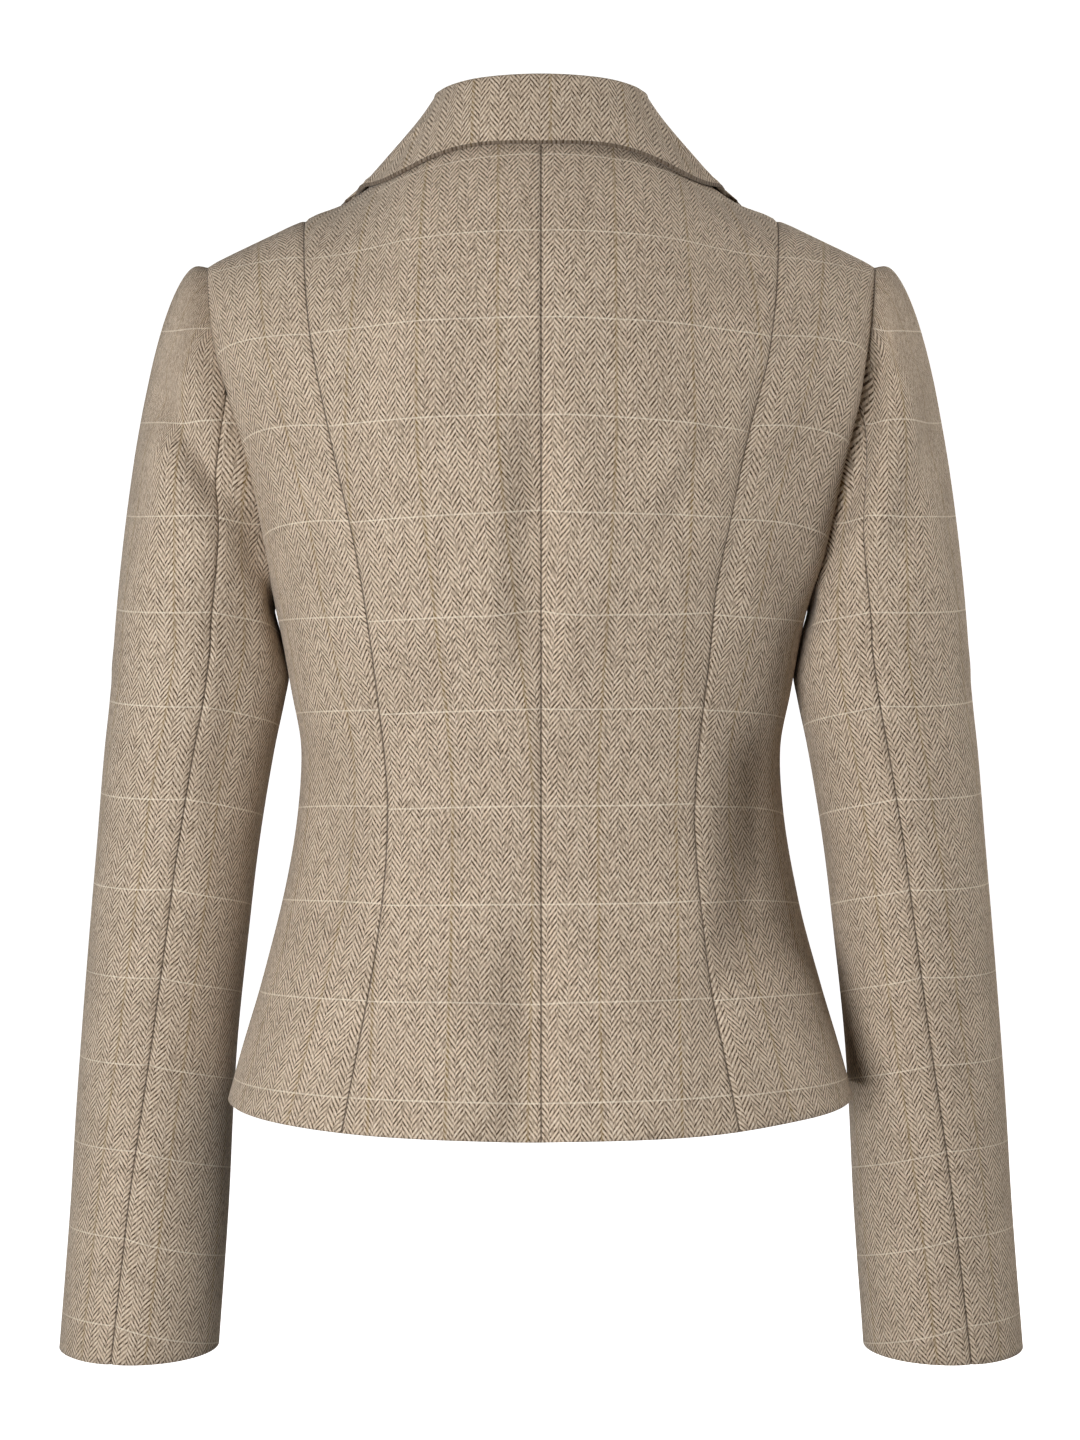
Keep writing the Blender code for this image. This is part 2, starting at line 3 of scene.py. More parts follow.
import bmesh
import bpy
import numpy as np
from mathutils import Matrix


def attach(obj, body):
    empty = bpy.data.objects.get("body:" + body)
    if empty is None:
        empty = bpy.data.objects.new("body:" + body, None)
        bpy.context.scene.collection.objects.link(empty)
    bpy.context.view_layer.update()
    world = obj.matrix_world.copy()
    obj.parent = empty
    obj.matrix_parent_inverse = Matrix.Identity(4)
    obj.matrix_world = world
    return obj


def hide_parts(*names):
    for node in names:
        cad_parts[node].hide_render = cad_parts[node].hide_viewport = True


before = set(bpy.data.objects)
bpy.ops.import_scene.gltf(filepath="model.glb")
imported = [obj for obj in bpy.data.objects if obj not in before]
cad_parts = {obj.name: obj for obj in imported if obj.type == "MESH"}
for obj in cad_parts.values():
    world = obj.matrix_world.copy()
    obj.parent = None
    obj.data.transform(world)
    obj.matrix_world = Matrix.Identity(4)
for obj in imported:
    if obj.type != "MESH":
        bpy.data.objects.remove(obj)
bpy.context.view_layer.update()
mm = 0.001
print("frame loaded:", len(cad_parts), "nodes")


# small helpers

def curve(rows, column):  # smooth line through one column of a table, by its first column
    order = sorted(rows)
    at = np.array([row[0] for row in order], float)
    value = np.array([row[column] for row in order], float)
    step = np.diff(at)
    slope = np.diff(value) / step
    tangent = np.concatenate([slope[:1], (slope[1:] + slope[:-1]) / 2, slope[-1:]])
    turns = np.where(slope[1:] * slope[:-1] <= 0)[0] + 1
    tangent[turns] = 0.0

    def follow(x):
        x = np.asarray(x, float)
        i = np.clip(np.searchsorted(at, x) - 1, 0, len(step) - 1)
        t = (x - at[i]) / step[i]
        start = value[i] * (1 + 2 * t) + step[i] * tangent[i] * t
        stop = value[i + 1] * (3 - 2 * t) - step[i] * tangent[i + 1] * (1 - t)
        inside = start * (1 - t) ** 2 + stop * t ** 2
        below = value[0] + tangent[0] * (x - at[0])
        above = value[-1] + tangent[-1] * (x - at[-1])
        return np.where(x < at[0], below, np.where(x > at[-1], above, inside))

    return follow


def unit(vectors):
    return vectors / np.maximum(np.linalg.norm(vectors, axis=-1, keepdims=True), 1e-12)


def ease(share):
    share = np.clip(share, 0.0, 1.0)
    return share * share * (3 - 2 * share)


def fade(share, ends):  # 0 up to ends[0], then eased to 1 over the length ends[1]
    return ease((share - ends[0]) / ends[1])


def hermite(start, leave, stop, arrive, t):
    return (start * (1 + 2 * t) * (1 - t) ** 2 + leave * t * (1 - t) ** 2
            + stop * t * t * (3 - 2 * t) - arrive * t * t * (1 - t))


def closeEdges(count):  # shares from 0 to 1 with a few close steps at both ends
    near = [0.0, 0.007, 0.016, 0.028, 0.045]
    return np.array(near + list(np.linspace(0.065, 0.935, count)) + [1 - n for n in reversed(near)])


# the body's surface, in millimetres: level 0 is the hem, 1 the underarm, 2 the shoulder ridge

body = {
    "wall": 2.0, "hemZ": -496.0, "hemSideRise": 4.5, "underarmZ": -215.0, "shoulderZ": -30.5,
    "neckX": 74.0, "neckZ": 34.0, "ridgeY": 8.0, "roundness": 2.3, "hemRiseEnd": 0.6,
    "backTurn": (2.3, 0.435), "frontTurn": (1.6, 0.5),
    "rings": [  # height, half width, side y, back y, front y
        (-498, 174.0, -15, -128, 126), (-467, 166.0, -13, -121, 120), (-430, 155.5, -10, -112, 113),
        (-386, 145.0, -6, -101, 106), (-340, 137.0, -2, -93, 101), (-300, 134.4, 0, -92, 101),
        (-264, 139.6, 0, -98, 109), (-215, 149.0, 0, -112, 123), (-162, 163.0, 0, -123, 125),
        (-110, 179.0, 0, -126, 122), (-75, 187.0, 0, -126, 119), (-30.5, 191.0, 0, -126, 117)],
    "ridge": [  # across, height
        (-40, 59), (0, 70), (40, 59), (74, 34), (90, 17.5), (108, 4.5), (127, -2.8), (150, -13.5),
        (186.5, -30.5), (210, -42)],
    "armhole": [  # share up, degrees back, degrees front
        (0.00, 0.0, 0.0), (0.06, 7.5, 11.0), (0.17, 11.5, 19.0), (0.30, 15.5, 23.0), (0.50, 17.0, 24.0),
        (0.76, 15.0, 20.0), (1.00, 13.7, 13.7)],
    "princess": [  # height, across
        (-498, 107), (-450, 98), (-403, 89), (-332, 83), (-255, 89.5), (-194, 98), (-125, 113), (-72, 124),
        (-6, 131)],
    "lowRows": 80, "highRows": 64, "crowding": 1.7, "levelZ": -325.0, "princessRounds": 8,
    "angleStep": 0.4, "levelStep": 0.004, "ridgeLevel": 1.999, "neckBeside": 20.0, "neckAbove": 12.0,
}
halfWidthAt, sideYAt, backYAt, frontYAt = [curve(body["rings"], column) for column in (1, 2, 3, 4)]
ridgeAt = curve(body["ridge"], 1)
armholeBackAt, armholeFrontAt = curve(body["armhole"], 1), curve(body["armhole"], 2)
princessAt = curve(body["princess"], 1)


def ringHeight(level):
    low = body["hemZ"] + level * (body["underarmZ"] - body["hemZ"])
    high = body["underarmZ"] + (level - 1) * (body["shoulderZ"] - body["underarmZ"])
    return np.where(level <= 1, low, high)


def bodyPoint(angle, level):  # 0 degrees is centre back, 90 the side, 180 centre front
    angle, level = np.broadcast_arrays(np.asarray(angle, float), np.asarray(level, float))
    height = ringHeight(level)
    across, along = np.sin(np.radians(angle)), np.cos(np.radians(angle))
    bend = 2 / body["roundness"]
    x = np.sign(across) * np.abs(across) ** bend * halfWidthAt(height)
    atBack = along > 0
    side = sideYAt(height)
    y = side + (np.where(atBack, backYAt(height), frontYAt(height)) - side) * np.abs(along) ** bend
    z = height + body["hemSideRise"] * across ** 2 * np.maximum(1 - level / body["hemRiseEnd"], 0) ** 2
    rise = np.clip(level - 1, 0, 1)
    power = np.where(atBack, body["backTurn"][0], body["frontTurn"][0])
    rootOf = np.where(atBack, body["backTurn"][1], body["frontTurn"][1])
    upY = body["ridgeY"] + (y - body["ridgeY"]) * np.maximum(1 - rise ** power, 0) ** rootOf
    upZ = body["underarmZ"] + rise * (ridgeAt(np.abs(x)) - body["underarmZ"])
    return np.stack([x, np.where(level > 1, upY, y), np.where(level > 1, upZ, z)], -1)


def bodyNormal(angle, level):
    angle, level = np.broadcast_arrays(np.asarray(angle, float), np.asarray(level, float))
    turn, step = body["angleStep"], body["levelStep"]
    around = bodyPoint(angle + turn, level) - bodyPoint(angle - turn, level)
    up = bodyPoint(angle, np.minimum(level + step, 2.0)) - bodyPoint(angle, np.maximum(level - step, 0.0))
    slope = unit(np.cross(around, up))
    zero = np.zeros_like(around[..., 0])
    onRidge = np.stack([-around[..., 2], zero, around[..., 0]], -1) * np.sign(around[..., :1])
    return np.where((level > body["ridgeLevel"])[..., None], unit(onRidge), slope)


def levelAt(x, z):
    low = (z - body["hemZ"]) / (body["underarmZ"] - body["hemZ"])
    high = 1 + np.minimum((z - body["underarmZ"]) / (ridgeAt(np.abs(x)) - body["underarmZ"]), 1.0)
    return np.where(z <= body["underarmZ"], low, high)


def angleAt(x, level, front):
    share = np.minimum(np.abs(x) / halfWidthAt(ringHeight(level)), 1.0)
    turn = np.degrees(np.arcsin(share ** (body["roundness"] / 2))) * np.where(x < 0, -1, 1)
    return np.where(front, 180 - turn, turn)


def onBody(x, z, front, lift):
    level = levelAt(x, z)
    angle = angleAt(x, level, front)
    return bodyPoint(angle, level) + np.asarray(lift)[..., None] * bodyNormal(angle, level)


def clearOfBody(points, lift):
    level = levelAt(points[..., 0], points[..., 2])
    angle = angleAt(points[..., 0], level, points[..., 1] > body["ridgeY"])
    normal = bodyNormal(angle, level)
    stands = np.sum((points - bodyPoint(angle, level)) * normal, -1)
    besideNeck = fade(np.abs(points[..., 0]) - body["neckX"], (-body["neckBeside"], body["neckBeside"]))
    belowNeck = fade(body["neckZ"] - points[..., 2], (-body["neckAbove"], body["neckAbove"]))
    return points + normal * (np.maximum(lift - stands, 0) * np.maximum(besideNeck, belowNeck))[..., None]


def bodyLevels(top):  # one column of levels for each top, closer together towards the shoulder
    top = np.atleast_1d(np.asarray(top, float))
    low = np.linspace(0, 1, body["lowRows"], endpoint=False)
    high = 1 - (1 - np.linspace(0, 1, body["highRows"] + 1)) ** body["crowding"]
    return np.concatenate([np.repeat(low[:, None], len(top), 1), 1 + (top - 1)[None] * high[:, None]])


def princessX(level):
    x = princessAt(ringHeight(level))
    for _ in range(body["princessRounds"]):
        x = princessAt(bodyPoint(angleAt(x, level, False), level)[..., 2])
    return x


# folds: soft troughs (depth below 0) and ridges, each from one place to another in x and z

foldEnds = {"past": 0.35, "over": 0.5}  # a fold runs on past both places and fades over these shares of it


def endFade(share):
    past, over = foldEnds["past"], foldEnds["over"]
    return ease((share + past) / over) * ease((1 + past - share) / over)


def foldShift(points, folds):
    moved = np.zeros(points.shape[:-1])
    flat = points[..., [0, 2]]
    for fromX, fromZ, toX, toZ, halfWidth, depth in folds:
        start, along = np.array([fromX, fromZ]), np.array([toX - fromX, toZ - fromZ])
        share = (flat - start) @ along / (along @ along)
        away = np.linalg.norm(flat - start - share[..., None] * along, axis=-1)
        moved += depth * endFade(share) * np.exp(-(away / halfWidth) ** 2)
    return moved


def runLength(points, axis):  # length along one direction of a grid, from its first line
    steps = np.linalg.norm(np.diff(points, axis=axis), axis=-1)
    start = np.zeros_like(np.take(steps, [0], axis=axis))
    return np.concatenate([start, np.cumsum(steps, axis=axis)], axis=axis)


def gridArea(points):
    one = np.cross(points[1:, 1:] - points[:-1, :-1], points[1:, :-1] - points[:-1, 1:])
    return float(np.linalg.norm(one, axis=-1).sum() / 2)


seamDip = {"depth": 0.9, "reach": 1.3, "softDepth": 0.5, "softReach": 6.0}  # cloth drawn in along its seams
noSeam = 99.0  # further from an edge than any painted seam shade reaches


def seamDistance(points, seams):  # how far each point is from the nearest of the named edges
    across, up = runLength(points, 1), runLength(points, 0)
    far = {"left": across, "right": across[:, -1:] - across, "top": up[-1:] - up}
    return np.minimum.reduce([far[name] for name in seams])


def sewnIn(points, normals, away):
    dip = seamDip["depth"] * np.exp(-(away / seamDip["reach"]) ** 2)
    dip = dip + seamDip["softDepth"] * np.exp(-(away / seamDip["softReach"]) ** 2)
    return points - normals * dip[..., None]


# cloth shell: outer skin, inner skin and a rounded rim, with a map in metres of flat cloth

def clothShell(name, outer, normals, flatMap, wall, away, rimRound=0.5):
    rows, columns = outer.shape[:2]
    inner = outer - wall * normals
    ring = [(0, i) for i in range(columns - 1)] + [(j, columns - 1) for j in range(rows - 1)]
    ring += [(rows - 1, i) for i in range(columns - 1, 0, -1)] + [(j, 0) for j in range(rows - 1, 0, -1)]
    beside = [(min(max(j, 1), rows - 2), min(max(i, 1), columns - 2)) for j, i in ring]
    edgeAt, besideAt = tuple(np.array(ring).T), tuple(np.array(beside).T)
    outward = unit(outer[edgeAt] - outer[besideAt])
    middle = (outer[edgeAt] + inner[edgeAt]) / 2 + outward * wall * rimRound * 0.5
    verts = np.concatenate([outer.reshape(-1, 3), inner.reshape(-1, 3), middle]) * mm
    index = np.arange(rows * columns).reshape(rows, columns)
    skin = np.stack([index[:-1, :-1], index[:-1, 1:], index[1:, 1:], index[1:, :-1]], -1).reshape(-1, 4)
    one, two = outer[1:, 1:] - outer[:-1, :-1], outer[1:, :-1] - outer[:-1, 1:]
    facing = np.sum(np.cross(one, two) * normals[:-1, :-1])
    if facing < 0:
        skin = skin[:, ::-1]
    count = rows * columns
    edge = index[edgeAt]
    mid = 2 * count + np.arange(len(edge))
    nextEdge, nextMid = np.roll(edge, -1), np.roll(mid, -1)
    rimOuter = np.stack([nextEdge, edge, mid, nextMid], -1)
    rimInner = np.stack([nextMid, mid, edge + count, nextEdge + count], -1)
    if facing < 0:
        rimOuter, rimInner = rimOuter[:, ::-1], rimInner[:, ::-1]
    faces = np.concatenate([skin, skin[:, ::-1] + count, rimOuter, rimInner])
    mesh = bpy.data.meshes.new(name)
    mesh.from_pydata(verts.tolist(), [], faces.tolist())
    spread = np.concatenate([flatMap.reshape(-1, 2), flatMap.reshape(-1, 2), flatMap[edgeAt]]) * mm
    layer = mesh.uv_layers.new(name="cloth")
    corner = np.empty(len(mesh.loops), np.int32)
    mesh.loops.foreach_get("vertex_index", corner)
    layer.data.foreach_set("uv", spread[corner].astype(np.float32).ravel())
    # each point's distance from the edges where the wool paints its seam shade
    fromSeam = np.concatenate([away.ravel(), away.ravel(), away[edgeAt]]).astype(np.float32)
    mesh.attributes.new("from_seam", "FLOAT", "POINT").data.foreach_set("value", fromSeam)
    mesh.polygons.foreach_set("use_smooth", np.ones(len(mesh.polygons), bool))
    mesh.update()
    piece = bpy.data.objects.new(name, mesh)
    bpy.context.scene.collection.objects.link(piece)
    return piece


def sewOn(piece, node, outer):  # give a cloth piece the wool, hang it on the root and hide the solid it stands for
    piece.data.materials.append(wool)
    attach(piece, "root")
    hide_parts(node)
    gridArea(outer) * mm * mm


def mirrorX(grid, mirrored):
    return grid * np.array([-1.0, 1.0, 1.0]) if mirrored else grid


# wool: herringbone with a windowpane of thin cream and olive lines, and painted shade along the seams and the
# collar's edge

class Value:  # a socket that takes part in Python expressions
    def __init__(self, shop, socket):
        self.shop, self.socket = shop, socket

    def maths(self, operation, *others):
        inputs = dict(enumerate((self,) + others))
        return self.shop.make("ShaderNodeMath", {"operation": operation}, inputs)

    def __add__(self, other):
        return self.maths("ADD", other)

    def __sub__(self, other):
        return self.maths("SUBTRACT", other)

    def __mul__(self, other):
        return self.maths("MULTIPLY", other)

    def __truediv__(self, other):
        return self.maths("DIVIDE", other)

    def __radd__(self, other):
        return self.maths("ADD", other)

    def __rmul__(self, other):
        return self.maths("MULTIPLY", other)

    def __rsub__(self, other):
        return (self * -1.0).maths("ADD", other)


class Shop:  # one material or world and the nodes made for it
    def __init__(self, owner, shader="Principled BSDF"):
        self.owner = owner
        owner.use_nodes = True
        self.tree = owner.node_tree
        self.shader = self.tree.nodes[shader]

    def make(self, kind, settings=None, inputs=None, output=0):
        node = self.tree.nodes.new(kind)
        for key, setting in (settings or {}).items():
            setattr(node, key, setting)
        for key, given in (inputs or {}).items():
            self.give(node.inputs[key], given)
        return Value(self, node.outputs[output])

    def give(self, socket, given):
        if isinstance(given, Value):
            self.tree.links.new(given.socket, socket)
        else:
            socket.default_value = given

    def finish(self, **sockets):
        for name, given in sockets.items():
            self.give(self.shader.inputs[name.replace("_", " ")], given)
        return self.owner

    def mix(self, share, first, second):  # colours, by a share
        return self.make("ShaderNodeMix", {"data_type": "RGBA"}, {0: share, 6: first, 7: second}, 2)

    def noise(self, vector, scale, detail=2.0, rough=0.5):
        inputs = {"Vector": vector, "Scale": scale, "Detail": detail, "Roughness": rough}
        return self.make("ShaderNodeTexNoise", {"noise_dimensions": "2D"}, inputs)

    def step(self, value, low, high):  # soft step from 0 at low to 1 at high
        inputs = {"Value": value, "From Min": low, "From Max": high}
        return self.make("ShaderNodeMapRange", {"interpolation_type": "SMOOTHSTEP"}, inputs)


def colour(red, green, blue):  # from screen values to the renderer's own
    made = [value / 255 for value in (red, green, blue)]
    return tuple(v / 12.92 if v < 0.04045 else ((v + 0.055) / 1.055) ** 2.4 for v in made) + (1.0,)


woolLook = {
    "zigzag": 11.0, "legFall": 1.32, "twillPitch": 3.23, "twillWander": 0.24, "yarn": 0.72,
    "pane": 52.1, "stripe": 43.0, "paneWidth": 0.36, "stripeWidth": 0.7,
    "light": colour(216, 197, 175), "dark": colour(80, 63, 47), "cream": colour(240, 228, 208),
    "olive": colour(128, 106, 64), "brown": colour(86, 69, 53), "pale": colour(228, 215, 198),
    # shadow is the colour of the painted shade along the seams and the collar's edge, seamWidth how far it
    # reaches, seamShade how strong it is
    "shadow": colour(62, 48, 36), "seamWidth": 0.75, "seamShade": 0.72,
    "wanderScale": 160.0, "fuzzScale": 1150.0, "grainScale": 620.0, "patchScale": 26.0,
    "lineEdge": (0.16, 0.68), "paleYarn": 0.55, "brownYarn": 0.45, "brownGrain": 0.4, "patchShade": 0.10,
    "paleFrom": (0.55, 1.0), "brownFrom": (0.35, 0.0), "grainFrom": (0.43, 0.26), "patchFrom": (0.25, 0.75),
    "paneFuzz": 0.4, "stripeFuzz": 0.8, "lineFuzz": 0.3, "seamFuzz": 0.5, "seamFrom": 0.2,
    "bumpHeight": 0.00036, "bumpStrength": 0.6, "sheen": 0.16, "sheenTint": (0.95, 0.9, 0.84, 1.0),
}


def makeWool():
    shop, look = Shop(bpy.data.materials.new("wool_herringbone")), woolLook
    flat = shop.make("ShaderNodeUVMap", {"uv_map": "cloth"})
    u = shop.make("ShaderNodeSeparateXYZ", None, {0: flat}, 0) * 1000.0  # in millimetres of flat cloth
    v = shop.make("ShaderNodeSeparateXYZ", None, {0: flat}, 1) * 1000.0
    wander = shop.noise(flat, look["wanderScale"]) - 0.5
    fuzz = shop.noise(flat, look["fuzzScale"], rough=0.6) - 0.5
    grain = shop.noise(flat, look["grainScale"], 3.0, 0.7)
    patches = shop.noise(flat, look["patchScale"])
    half = look["zigzag"] / 2
    leg = (u / half).maths("FLOOR")
    fall = u.maths("PINGPONG", half) * look["legFall"]
    phase = (v + fall) / look["twillPitch"] + leg * 0.5 + wander * look["twillWander"]
    phase = phase + fuzz * look["lineFuzz"]
    yarnAt, lineAt = (u / look["yarn"]).maths("FLOOR"), (phase * 2.0).maths("FLOOR")
    spot = shop.make("ShaderNodeCombineXYZ", None, {0: yarnAt, 1: lineAt})
    yarn = shop.make("ShaderNodeTexWhiteNoise", {"noise_dimensions": "2D"}, {"Vector": spot})
    twill = (phase * (2 * math.pi)).maths("SINE") * 0.5 + 0.5
    lines = shop.step(twill, *look["lineEdge"])
    floats = (1.0 - lines) * (yarn * 0.62 + 0.46) * (grain * 0.8 + 0.6)  # dark yarn showing between cream
    cloth = shop.mix(floats, look["light"], look["dark"])
    cloth = shop.mix(lines * shop.step(yarn, *look["paleFrom"]) * look["paleYarn"], cloth, look["pale"])
    cloth = shop.mix(lines * shop.step(yarn, *look["brownFrom"]) * look["brownYarn"], cloth, look["brown"])
    cloth = shop.mix(shop.step(grain, *look["grainFrom"]) * look["brownGrain"], cloth, look["brown"])
    offPane = v - (v / look["pane"]).maths("ROUND") * look["pane"]
    offPane = (offPane + fuzz * look["paneFuzz"]).maths("ABSOLUTE")
    offStripe = u - (u / look["stripe"]).maths("ROUND") * look["stripe"]
    offStripe = (offStripe + fuzz * look["stripeFuzz"]).maths("ABSOLUTE")
    pane = shop.step(offPane, look["paneWidth"] * 1.6, look["paneWidth"] * 0.6)
    stripe = shop.step(offStripe, look["stripeWidth"] * 1.8, look["stripeWidth"] * 0.5)
    cloth = shop.mix(stripe * (0.25 + floats * 0.6), cloth, look["olive"])
    cloth = shop.mix(pane * (0.30 + yarn * 0.45), cloth, look["cream"])
    shade = shop.step(patches, *look["patchFrom"]) * look["patchShade"]
    cloth = shop.mix(shade, cloth, look["dark"])
    # painted shade: the cloth darkened towards its seams and the collar's edge, standing in for the shadow in
    # the seam grooves
    fromSeam = shop.make("ShaderNodeAttribute", {"attribute_name": "from_seam"}, None, 2)
    paintedSeamShade = shop.step(fromSeam + fuzz * look["seamFuzz"], look["seamWidth"], look["seamFrom"])
    cloth = shop.mix(paintedSeamShade * look["seamShade"], cloth, look["shadow"])
    height = lines * 0.55 + grain * 0.7 + fuzz * 0.35 + pane * 0.2
    bump = shop.make("ShaderNodeBump", None, {
        "Height": height, "Strength": look["bumpStrength"], "Distance": look["bumpHeight"]})
    return shop.finish(Base_Color=cloth, Roughness=0.94 - lines * 0.08, Normal=bump, Specular_IOR_Level=0.18,
                       Sheen_Weight=look["sheen"], Sheen_Roughness=0.55, Sheen_Tint=look["sheenTint"])


wool = makeWool()
print("wool made")


# back, from the centre back seam to the princess seam, and side back on to the side and armhole

backCloth = {
    "neckColumns": 24, "outColumns": 18, "sideColumns": 34, "seamShares": [0.007, 0.016, 0.026],
    "stripeAt": {"left": 23.0, "right": 39.7}, "grainShare": {"left": 1.0, "right": 0.5},
    "grain": [(-498, 15.5), (-400, 18.0), (-325, 18.5), (-215, 9.0), (-110, 0.0), (40, 0.0)],
    "sideStripeAt": 14.0, "foldEnd": 45.0,
    "armholeFrom": (0.98, 0.05), "armholeThinner": 0.4, "armholeFlat": 40.0,
    "folds": [  # from x, from z, to x, to z, half width, depth; the first seven are in the solids too
        (0, -110, 0, -236, 10, -2.4), (-1, -395, -2, -500, 13, -3.6),
        (-120, -306, -110, -376, 14, -1.6), (140, -128, 88, -222, 13, -2.4), (112, -88, 58, -156, 14, 2.0),
        (40, -420, 46, -500, 18, 2.0), (-52, -420, -60, -500, 19, 1.8), (96, -110, 66, -176, 7, -2.2),
        (-6, -122, -8, -236, 13, -4.2), (-9, -400, -13, -506, 15, -6.6), (98, -300, 90, -396, 10, 1.4),
        (167, -92, 144, -202, 10, 6.5), (136, -64, 104, -150, 9, -2.2), (97, -384, 86, -486, 12, -1.8),
        (116, -116, 100, -214, 7, -2.6),
        (-136, -118, -112, -196, 12, -1.5), (-22, -150, -26, -230, 10, 1.4), (24, -140, 28, -226, 11, 1.4),
        (-88, -440, -98, -506, 12, -1.6), (92, -436, 104, -506, 12, -1.8), (-128, -430, -146, -506, 15, 1.3),
        (132, -420, 152, -506, 15, 1.4), (-84, -318, -40, -330, 8, -0.9), (88, -330, 44, -340, 8, -1.0),
        (-66, -70, -58, -150, 16, 1.0), (-30, -60, -34, -120, 14, -0.9), (40, -46, 34, -110, 15, -1.0)],
    "setBack": [  # side, from, to, half width, how far to the front; the first is the solid's waist fold
        (1, 124, -302, 116, -398, 21, 24.0), (1, 138, -408, 144, -512, 40, 9.0),
        (-1, 122, -300, 116, -384, 20, 12.0)],
    "setBackEnd": 55.0, "setBackFade": 90.0,
    "groove": {"right": [(0.0, 2.0), (0.2, 3.2), (0.5, 2.8), (0.75, 1.5), (1.0, 0.4)],
               "left": [(0.0, 2.0), (0.2, 2.4), (0.5, 2.0), (0.75, 1.2), (1.0, 0.4)],
               "reach": 4.0},
    "droopAt": 110.0, "droopBend": 1.6, "sideBend": 1.3,
    "droop": [  # height, how far level lines sink towards the princess seam, left and right, and rise in all
        (-498, 0.5, 0.0, 1.0), (-440, 2.0, 0.0, 1.5), (-280, 5.5, 0.0, 1.5), (-225, 6.0, 0.5, 2.0),
        (-170, 6.0, 3.0, 4.8), (-115, 3.4, 6.6, 3.7), (-60, 2.0, 2.4, 3.1), (40, 5.0, 1.0, -6.0)],
    "sideDroop": [  # height, how far they sink from the princess seam to the side, left and right
        (-498, 2.0, 3.0), (-443, 6.0, 8.0), (-390, 8.0, 13.0), (-334, 9.0, 15.0), (-279, 7.5, 11.5),
        (-228, 7.5, 8.5), (-174, 1.5, 1.5), (-115, 0.0, 0.0), (40, 0.0, 0.0)],
}


def necklineTop(x):
    return np.where(x >= body["neckX"], 2.0, levelAt(x, np.full_like(x, body["neckZ"])))


def backGrid():
    topX = float(princessX(np.array(2.0)))
    neckShare, near = body["neckX"] / topX, np.array(backCloth["seamShares"])
    inner = np.linspace(0, neckShare, backCloth["neckColumns"], endpoint=False)
    inner = np.sort(np.concatenate([inner, near]))
    outer = neckShare + (1 - neckShare) * np.linspace(0, 1, backCloth["outColumns"])
    outer = np.sort(np.concatenate([outer, 1 - near]))
    shares = np.concatenate([inner, outer])
    levels = bodyLevels(necklineTop(shares * topX))
    return angleAt(shares[None] * princessX(levels), levels, False), levels


def sideBackGrid():
    shares = closeEdges(backCloth["sideColumns"])
    levels = np.repeat(bodyLevels(2.0), len(shares), 1)
    start = angleAt(princessX(levels[:, 0]), levels[:, 0], False)
    rise = np.clip(levels[:, 0] - 1, 0, 1)
    stop = np.where(levels[:, 0] <= 1, 90.0, 90 - armholeBackAt(rise))
    return start[:, None] + (stop - start)[:, None] * shares[None], levels


def levelRow(points):  # the row that lies level at the waist
    return int(np.argmin(np.abs(points[:, 0, 2] - body["levelZ"])))


def bodyMap(points, across):
    up = runLength(points, 0)
    row = levelRow(points)
    drop = points[row, :, 2] - body["levelZ"]
    return np.stack([across, up - up[row] + drop], -1)


def makeBacks():
    grain = curve(backCloth["grain"], 1)
    for word, mirrored in (("right", False), ("left", True)):
        angle, level = backGrid()
        points, normals = bodyPoint(angle, level), bodyNormal(angle, level)
        out = runLength(points, 1)
        across = out + grain(points[..., 2]) * backCloth["grainShare"][word]
        flatMap = bodyMap(points, across - backCloth["stripeAt"][word])
        droop, rise = curve(backCloth["droop"], 1 if mirrored else 2), curve(backCloth["droop"], 3)
        bend = (out / backCloth["droopAt"]) ** backCloth["droopBend"]
        flatMap[..., 1] += droop(points[..., 2]) * bend - rise(points[..., 2])
        dressPanel(f"back_{word}", points, normals, flatMap, ["left", "right"], backCloth["folds"], mirrored)
        angle, level = sideBackGrid()
        points, normals = bodyPoint(angle, level), bodyNormal(angle, level)
        across = runLength(points, 1)
        underarm = int(np.argmin(np.abs(level[:, 0] - 1)))
        middle = across[np.minimum(np.arange(len(across)), underarm), -1:] * 0.5
        flatMap = bodyMap(points, across - middle - backCloth["sideStripeAt"])
        sink = curve(backCloth["sideDroop"], 1 if mirrored else 2)
        flatMap[..., 1] += sink(points[..., 2]) * (across / across[:, -1:]) ** backCloth["sideBend"]
        dressPanel(f"side_back_{word}", points, normals, flatMap, ["left", "top"], backCloth["folds"],
                   mirrored, level, "right")


def setBack(points):  # the sides of the waist and hem, moved to the front
    moved = np.zeros(points.shape[:-1])
    for side, fromX, fromZ, toX, toZ, halfWidth, depth in backCloth["setBack"]:
        share = (points[..., 2] - fromZ) / (toZ - fromZ)
        inside = np.maximum(fromX + (toX - fromX) * share - side * points[..., 0], 0)
        drawn = depth * endFade(share) * np.exp(-(inside / halfWidth) ** 2)
        moved += drawn * ease((backCloth["setBackEnd"] - points[..., 1]) / backCloth["setBackFade"])
    return moved


def grooveAt(mirrored):  # depth of the armhole's seam below the cloth, by the share of its height
    return curve(backCloth["groove"]["left" if mirrored else "right"], 1)


